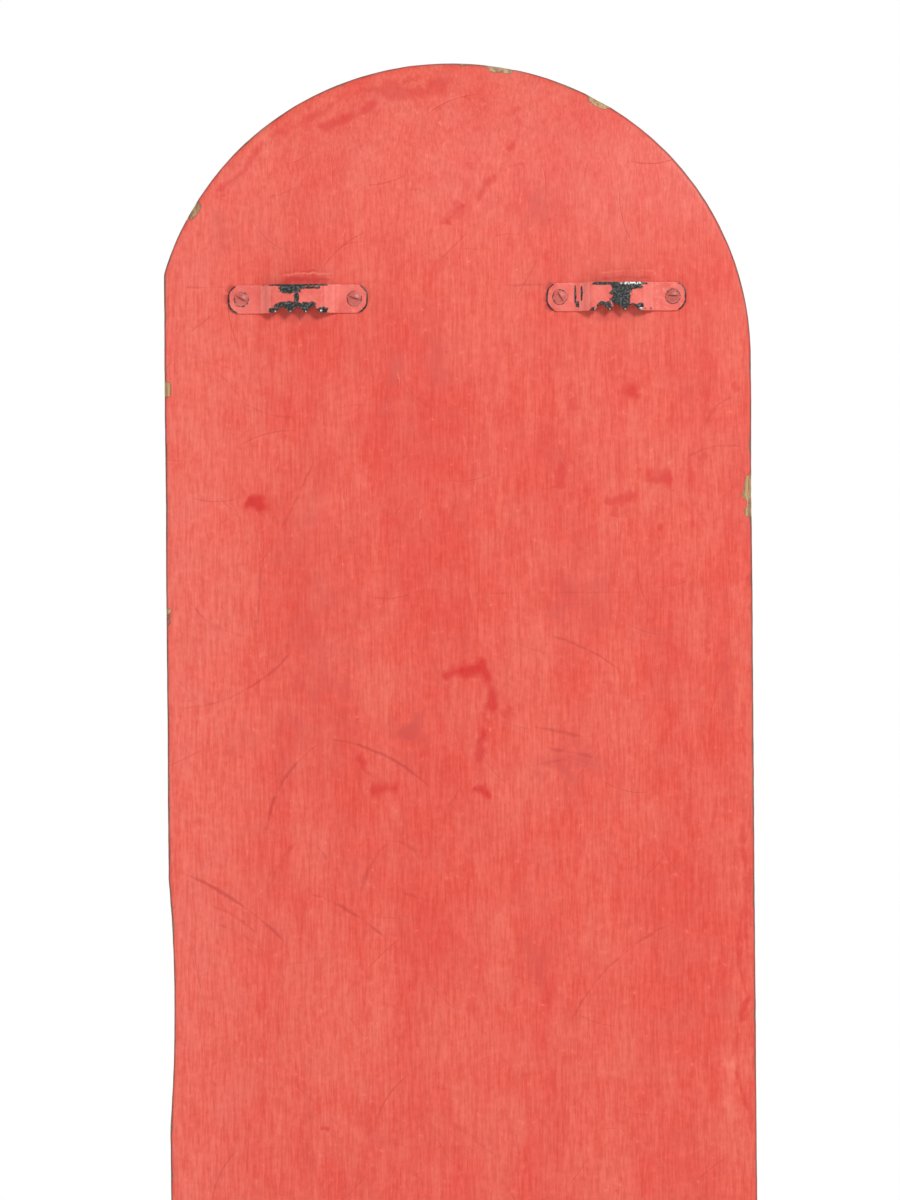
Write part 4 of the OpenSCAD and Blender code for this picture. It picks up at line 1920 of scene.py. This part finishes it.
@dataclass
class WallHanger:
    """One sawtooth hanger: an arched steel strap under lumpy enamel, in millimetres."""

    side: str
    patches: tuple[WornPatch, ...]
    end_worn: float
    flat_half: float = 13.0
    foot_half: float = 18.0
    sheet: float = 1.2
    bend_ease: float = 2.4
    notch_radius: float = 3.4
    notch_depth: float = 3.0
    notch_round: float = 0.7
    notch_reach: float = 4.0
    notch_lip: float = 0.4
    end_radius: float = 5.9
    end_band: float = 0.8
    end_fade: float = 3.0
    voxel: float = 0.34
    smoothing: float = 0.5
    lump: float = 0.13
    lump_scale: float = 0.42
    lump_sink: float = 0.6
    seed: float = 1.0

    def build(self) -> Piece:
        """Builds the strap from the CAD node's own shape, with soft bends and a lumpy coat.

        Returns:
            The piece.
        """
        node = f"hanger_{self.side}"
        work = bmesh.new()
        work.from_mesh(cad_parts[node].data)
        bmesh.ops.remove_doubles(work, verts=work.verts, dist=0.00001)
        mesh = bpy.data.meshes.new(f"sawtooth_{self.side}")
        work.to_mesh(mesh)
        work.free()
        piece = mesh_piece(f"sawtooth_{self.side}", mesh)
        remesh = piece.modifiers.new("even", "REMESH")
        remesh.mode = "VOXEL"
        remesh.voxel_size = self.voxel * MM
        smooth = piece.modifiers.new("soft", "SMOOTH")
        smooth.factor = self.smoothing
        smooth.iterations = 2
        settled(piece)
        self.coat(piece.data, node)
        piece.data.materials.clear()
        piece.data.materials.append(SteelEnamel(f"hanger_enamel_{self.side}").material())
        piece.data.shade_smooth()
        fit_and_report(piece, [node])
        return piece

    def sheet_height(self, across: float, arch: float) -> float:
        """How far the strap's sheet stands behind the wall plane, with sharp bends.

        Args:
            across: the distance from the strap's middle.
            arch: the height of the arch.

        Returns:
            The distance along Y.
        """
        return arch * clamped((abs(across) - self.flat_half) / (self.foot_half - self.flat_half))

    def eased(self, across: float, arch: float) -> float:
        """How far rounding the bends moves the sheet at a place along the strap.

        Args:
            across: the distance from the strap's middle.
            arch: the height of the arch.

        Returns:
            The move along Y.
        """
        steps = 25
        offsets = [self.bend_ease * (2 * i / (steps - 1) - 1) for i in range(steps)]
        rounded = sum(self.sheet_height(across + offset, arch) for offset in offsets) / steps
        return rounded - self.sheet_height(across, arch)

    def peaked(self, across: float, above: float) -> float:
        """How far a point near the notches moves down to turn their round tops into peaks.

        Args:
            across: the distance from the strap's middle.
            above: the height above the notches' round tops.

        Returns:
            The move along Z, from zero down.
        """
        nearest = max(-1, min(1, round(across / NOTCH_PITCH)))
        offset = min(self.notch_radius, abs(across - nearest * NOTCH_PITCH))
        arc = math.sqrt(self.notch_radius ** 2 - offset * offset) - self.notch_radius
        slope = math.hypot(offset, self.notch_round) - self.notch_round
        peak = -self.notch_depth * slope / (self.notch_radius + self.notch_lip - self.notch_round)
        beyond = max(0.0, above - arc)
        return min(0.0, peak - arc) * bump_of(beyond, self.notch_reach)

    def end_wear(self, across: float, up: float, half: Vector) -> float:
        """How worn the band round each rounded end is at a point.

        Args:
            across: the distance from the strap's middle.
            up: the height above the strap's middle.
            half: half of the strap's length and height.

        Returns:
            The wear, from 0 to 1.
        """
        corner = Vector((half.x - self.end_radius, half.y - self.end_radius))
        past = Vector((max(0.0, abs(across) - corner.x), max(0.0, abs(up) - corner.y)))
        if past.x == 0.0:
            return 0.0
        inset = self.end_radius - past.length
        return self.end_worn * clamped(1.5 - inset / self.end_band) * clamped(past.x / self.end_fade)

    def coat(self, mesh: Mesh, node: str) -> None:
        """Eases the bends, peaks the notches, raises the coat's lumps and stores where it is gone.

        Args:
            mesh: the strap's mesh.
            node: the CAD node that gives its place.
        """
        low, high = (Vector(corner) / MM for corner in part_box(node))
        middle, half = (low + high) / 2, Vector(((high.x - low.x) / 2, (high.z - low.z) / 2))
        arch = high.y - low.y - self.sheet
        wear, rim, shine, moved = [], [], [], []
        for vertex in mesh.vertices:
            here, out = vertex.co / MM, vertex.normal.copy()
            across, up = here.x - middle.x, here.z - middle.z
            worn = max(patch.worn * patch.at(across, up) for patch in self.patches)
            worn = max(worn, self.end_wear(across, up, half))
            wear.append(worn)
            shine.append(max(patch.shine * patch.at(across, up) for patch in self.patches))
            # rim: where the strap turns edge-on; the enamel paints a highlight of paler enamel there.
            edge = 1.0 - abs(out.y)
            rim.append(min(1.0, 4.0 * edge * (1.0 - edge) + 0.2 * edge))
            swell = noise.noise(here * self.lump_scale + Vector((self.seed, 0, 0)))
            here += out * self.lump * (swell - self.lump_sink) * (1.0 - worn)
            here.y += self.eased(across, arch)
            if abs(across) < self.flat_half:
                here.z += self.peaked(across, here.z)
            moved.append(here * MM)
        for vertex, place in zip(mesh.vertices, moved):
            vertex.co = place
        paint_points(mesh, "wear", wear)
        paint_points(mesh, "rim", rim)
        paint_points(mesh, "shine", shine)


def tooth_tips() -> list[WornPatch]:
    """Bright patches on the four tooth tips of a strap.

    Returns:
        The patches, from left to right.
    """
    tips = []
    for i in range(4):
        across = NOTCH_PITCH * (i - 1.5) + 0.6
        tips.append(WornPatch(across, TOOTH_TIPS_UP, 0.7 + 0.1 * i, 0.8, shine=0.60))
    return tips


LEFT_HANGER = WallHanger(
    "left",
    (
        WornPatch(-1.0, 6.6, 14.0, 0.6),
        WornPatch(-4.0, 4.6, 5.0, 2.2),
        WornPatch(-0.5, 0.5, 1.4, 2.6, 0.85),
        WornPatch(6.0, 5.2, 5.5, 0.6, 0.9, 0.2),
        WornPatch(-1.5, -4.2, 9.5, 2.6),
        WornPatch(10.0, -5.8, 4.5, 1.6),
        WornPatch(-11.5, -5.8, 2.5, 1.2),
        *tooth_tips(),
    ),
    end_worn=1.0,
    seed=2.0,
)
RIGHT_HANGER = WallHanger(
    "right",
    (
        WornPatch(-6.5, 6.2, 6.0, 0.8),
        WornPatch(7.0, 6.2, 7.0, 0.7, 1.0, 0.62),
        WornPatch(2.0, 1.0, 4.8, 6.5),
        WornPatch(9.0, 4.4, 3.5, 1.2, 0.85),
        WornPatch(-6.0, -3.8, 3.5, 1.3),
        WornPatch(9.0, -4.6, 4.5, 1.2),
        WornPatch(0.5, -6.2, 13.0, 1.2),
        WornPatch(-20.0, 0.0, 0.5, 5.0, 0.9),
        WornPatch(-17.0, 1.0, 0.5, 4.5, 0.85),
        WornPatch(-19.0, -3.5, 1.0, 1.5, 1.0, 0.3),
        *tooth_tips(),
    ),
    end_worn=0.85,
    seed=7.0,
)


# ---- studio ------------------------------------------------------


@dataclass(frozen=True)
class Lamp:
    """A square soft light: where it hangs from the camera's target, its side and its power in watts."""

    name: str
    place: tuple[float, float, float]
    size: float
    power: float

    def hang(self, target: Vector) -> None:
        """Hangs the light.

        Args:
            target: what it points at.
        """
        light = bpy.data.lights.new(self.name, "AREA")
        light.size = self.size
        light.energy = self.power
        lamp = bpy.data.objects.new(self.name, light)
        lamp.location = target + Vector(self.place)
        lamp.rotation_mode = "QUATERNION"
        lamp.rotation_quaternion = (target - lamp.location).to_track_quat("-Z", "Y")
        bpy.context.scene.collection.objects.link(lamp)


@dataclass
class Studio:
    """A pale floor, soft light and a camera square to the running face."""

    camera_distance: float = 2.2
    frame_height: float = 0.5842
    look_at: tuple[float, float] = (-0.0046, -0.1430)
    lean: float = 0.0077
    sensor: float = 36.0
    far_clip: float = 50.0
    floor_radius: float = 4.0
    floor_fade: tuple[float, float] = (0.35, 0.95)
    floor_colours: tuple[Colour, Colour] = ((0.88, 0.88, 0.875), (0.91, 0.91, 0.905))
    floor_glow: float = 0.18
    room_light: float = 0.47
    lamps: tuple[Lamp, ...] = (
        Lamp("key_light", (0.95, -2.15, 1.3), 0.6, 46.5),
        Lamp("fill_light", (-1.2, -2.2, -0.6), 1.8, 10.0),
        Lamp("back_light", (-1.2, 2.0, 1.2), 1.4, 40.0),
    )

    def build(self) -> None:
        """Sets up the light, the floor and the camera."""
        bpy.context.scene.view_settings.view_transform = "Standard"
        self.surroundings()
        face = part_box("plank")[0][1]
        target = Vector((self.look_at[0], face, self.look_at[1]))
        for lamp in self.lamps:
            lamp.hang(target)
        self.floor()
        self.camera(target)

    def surroundings(self) -> None:
        """Makes the white room: bright where the camera sees it, softer as light."""
        world = bpy.data.worlds.new("studio")
        bpy.context.scene.world = world
        world.use_nodes = True
        board = NodeBoard(world.node_tree)
        seen = board.add("ShaderNodeLightPath")["Is Camera Ray"]
        strength = board.ramp(seen, 0.0, 1.0, self.room_light, 1.0)
        sky = world.node_tree.nodes["Background"]
        sky.inputs["Color"].default_value = (1.0, 1.0, 1.0, 1.0)
        board.feed(sky.inputs["Strength"], strength)

    def floor(self) -> None:
        """Lays the pale floor under the tail."""
        mesh = bpy.data.meshes.new("studio_floor")
        disc = bmesh.new()
        bmesh.ops.create_circle(disc, cap_ends=True, segments=96, radius=self.floor_radius)
        bmesh.ops.translate(disc, vec=(0.0, 0.0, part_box("plank")[0][2]), verts=disc.verts)
        disc.to_mesh(mesh)
        disc.free()
        paper, board, shader, place = new_material("studio_paper")
        cloud = board.noise(place, 3.0)
        board.feed(shader.inputs["Base Color"], board.blend(cloud, *self.floor_colours))
        level = board.vectors("MULTIPLY", place, (1.0, 1.0, 0.0))
        away = board.add("ShaderNodeVectorMath", {0: level}, operation="LENGTH")["Value"]
        near, far = (self.floor_radius * share for share in self.floor_fade)
        fade = board.ramp(away, near, far, 1.0, 0.0)
        board.feed(shader.inputs["Alpha"], fade)
        shader.inputs["Roughness"].default_value = 0.9
        shader.inputs["Emission Color"].default_value = (1.0, 1.0, 1.0, 1.0)
        shader.inputs["Emission Strength"].default_value = self.floor_glow
        mesh.materials.append(paper)
        mesh_piece("studio_floor", mesh)

    def camera(self, target: Vector) -> None:
        """Sets the camera square to the running face, leaning a little.

        Args:
            target: the point on the running face in the middle of the view.
        """
        lens = bpy.data.cameras.new("camera")
        lens.sensor_width = self.sensor
        lens.lens = self.sensor * self.camera_distance / self.frame_height
        lens.clip_end = self.far_clip
        camera = bpy.data.objects.new("camera", lens)
        camera.location = target - Vector((0.0, self.camera_distance, 0.0))
        camera.rotation_euler = (math.pi / 2, self.lean, 0.0)
        bpy.context.scene.collection.objects.link(camera)
        bpy.context.scene.camera = camera


def main() -> None:
    """Builds the studio and every piece in order."""
    logging.basicConfig(level=logging.INFO, format="%(name)s: %(message)s")
    Studio().build()
    plank = Plank()
    plank.dress(plank.build())
    battens = DeckBattens()
    battens.build()
    batten_screws(battens).build()
    LEFT_HANGER.build()
    RIGHT_HANGER.build()
    hanger_screws().build()
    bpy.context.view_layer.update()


if __name__ == "__main__":
    main()
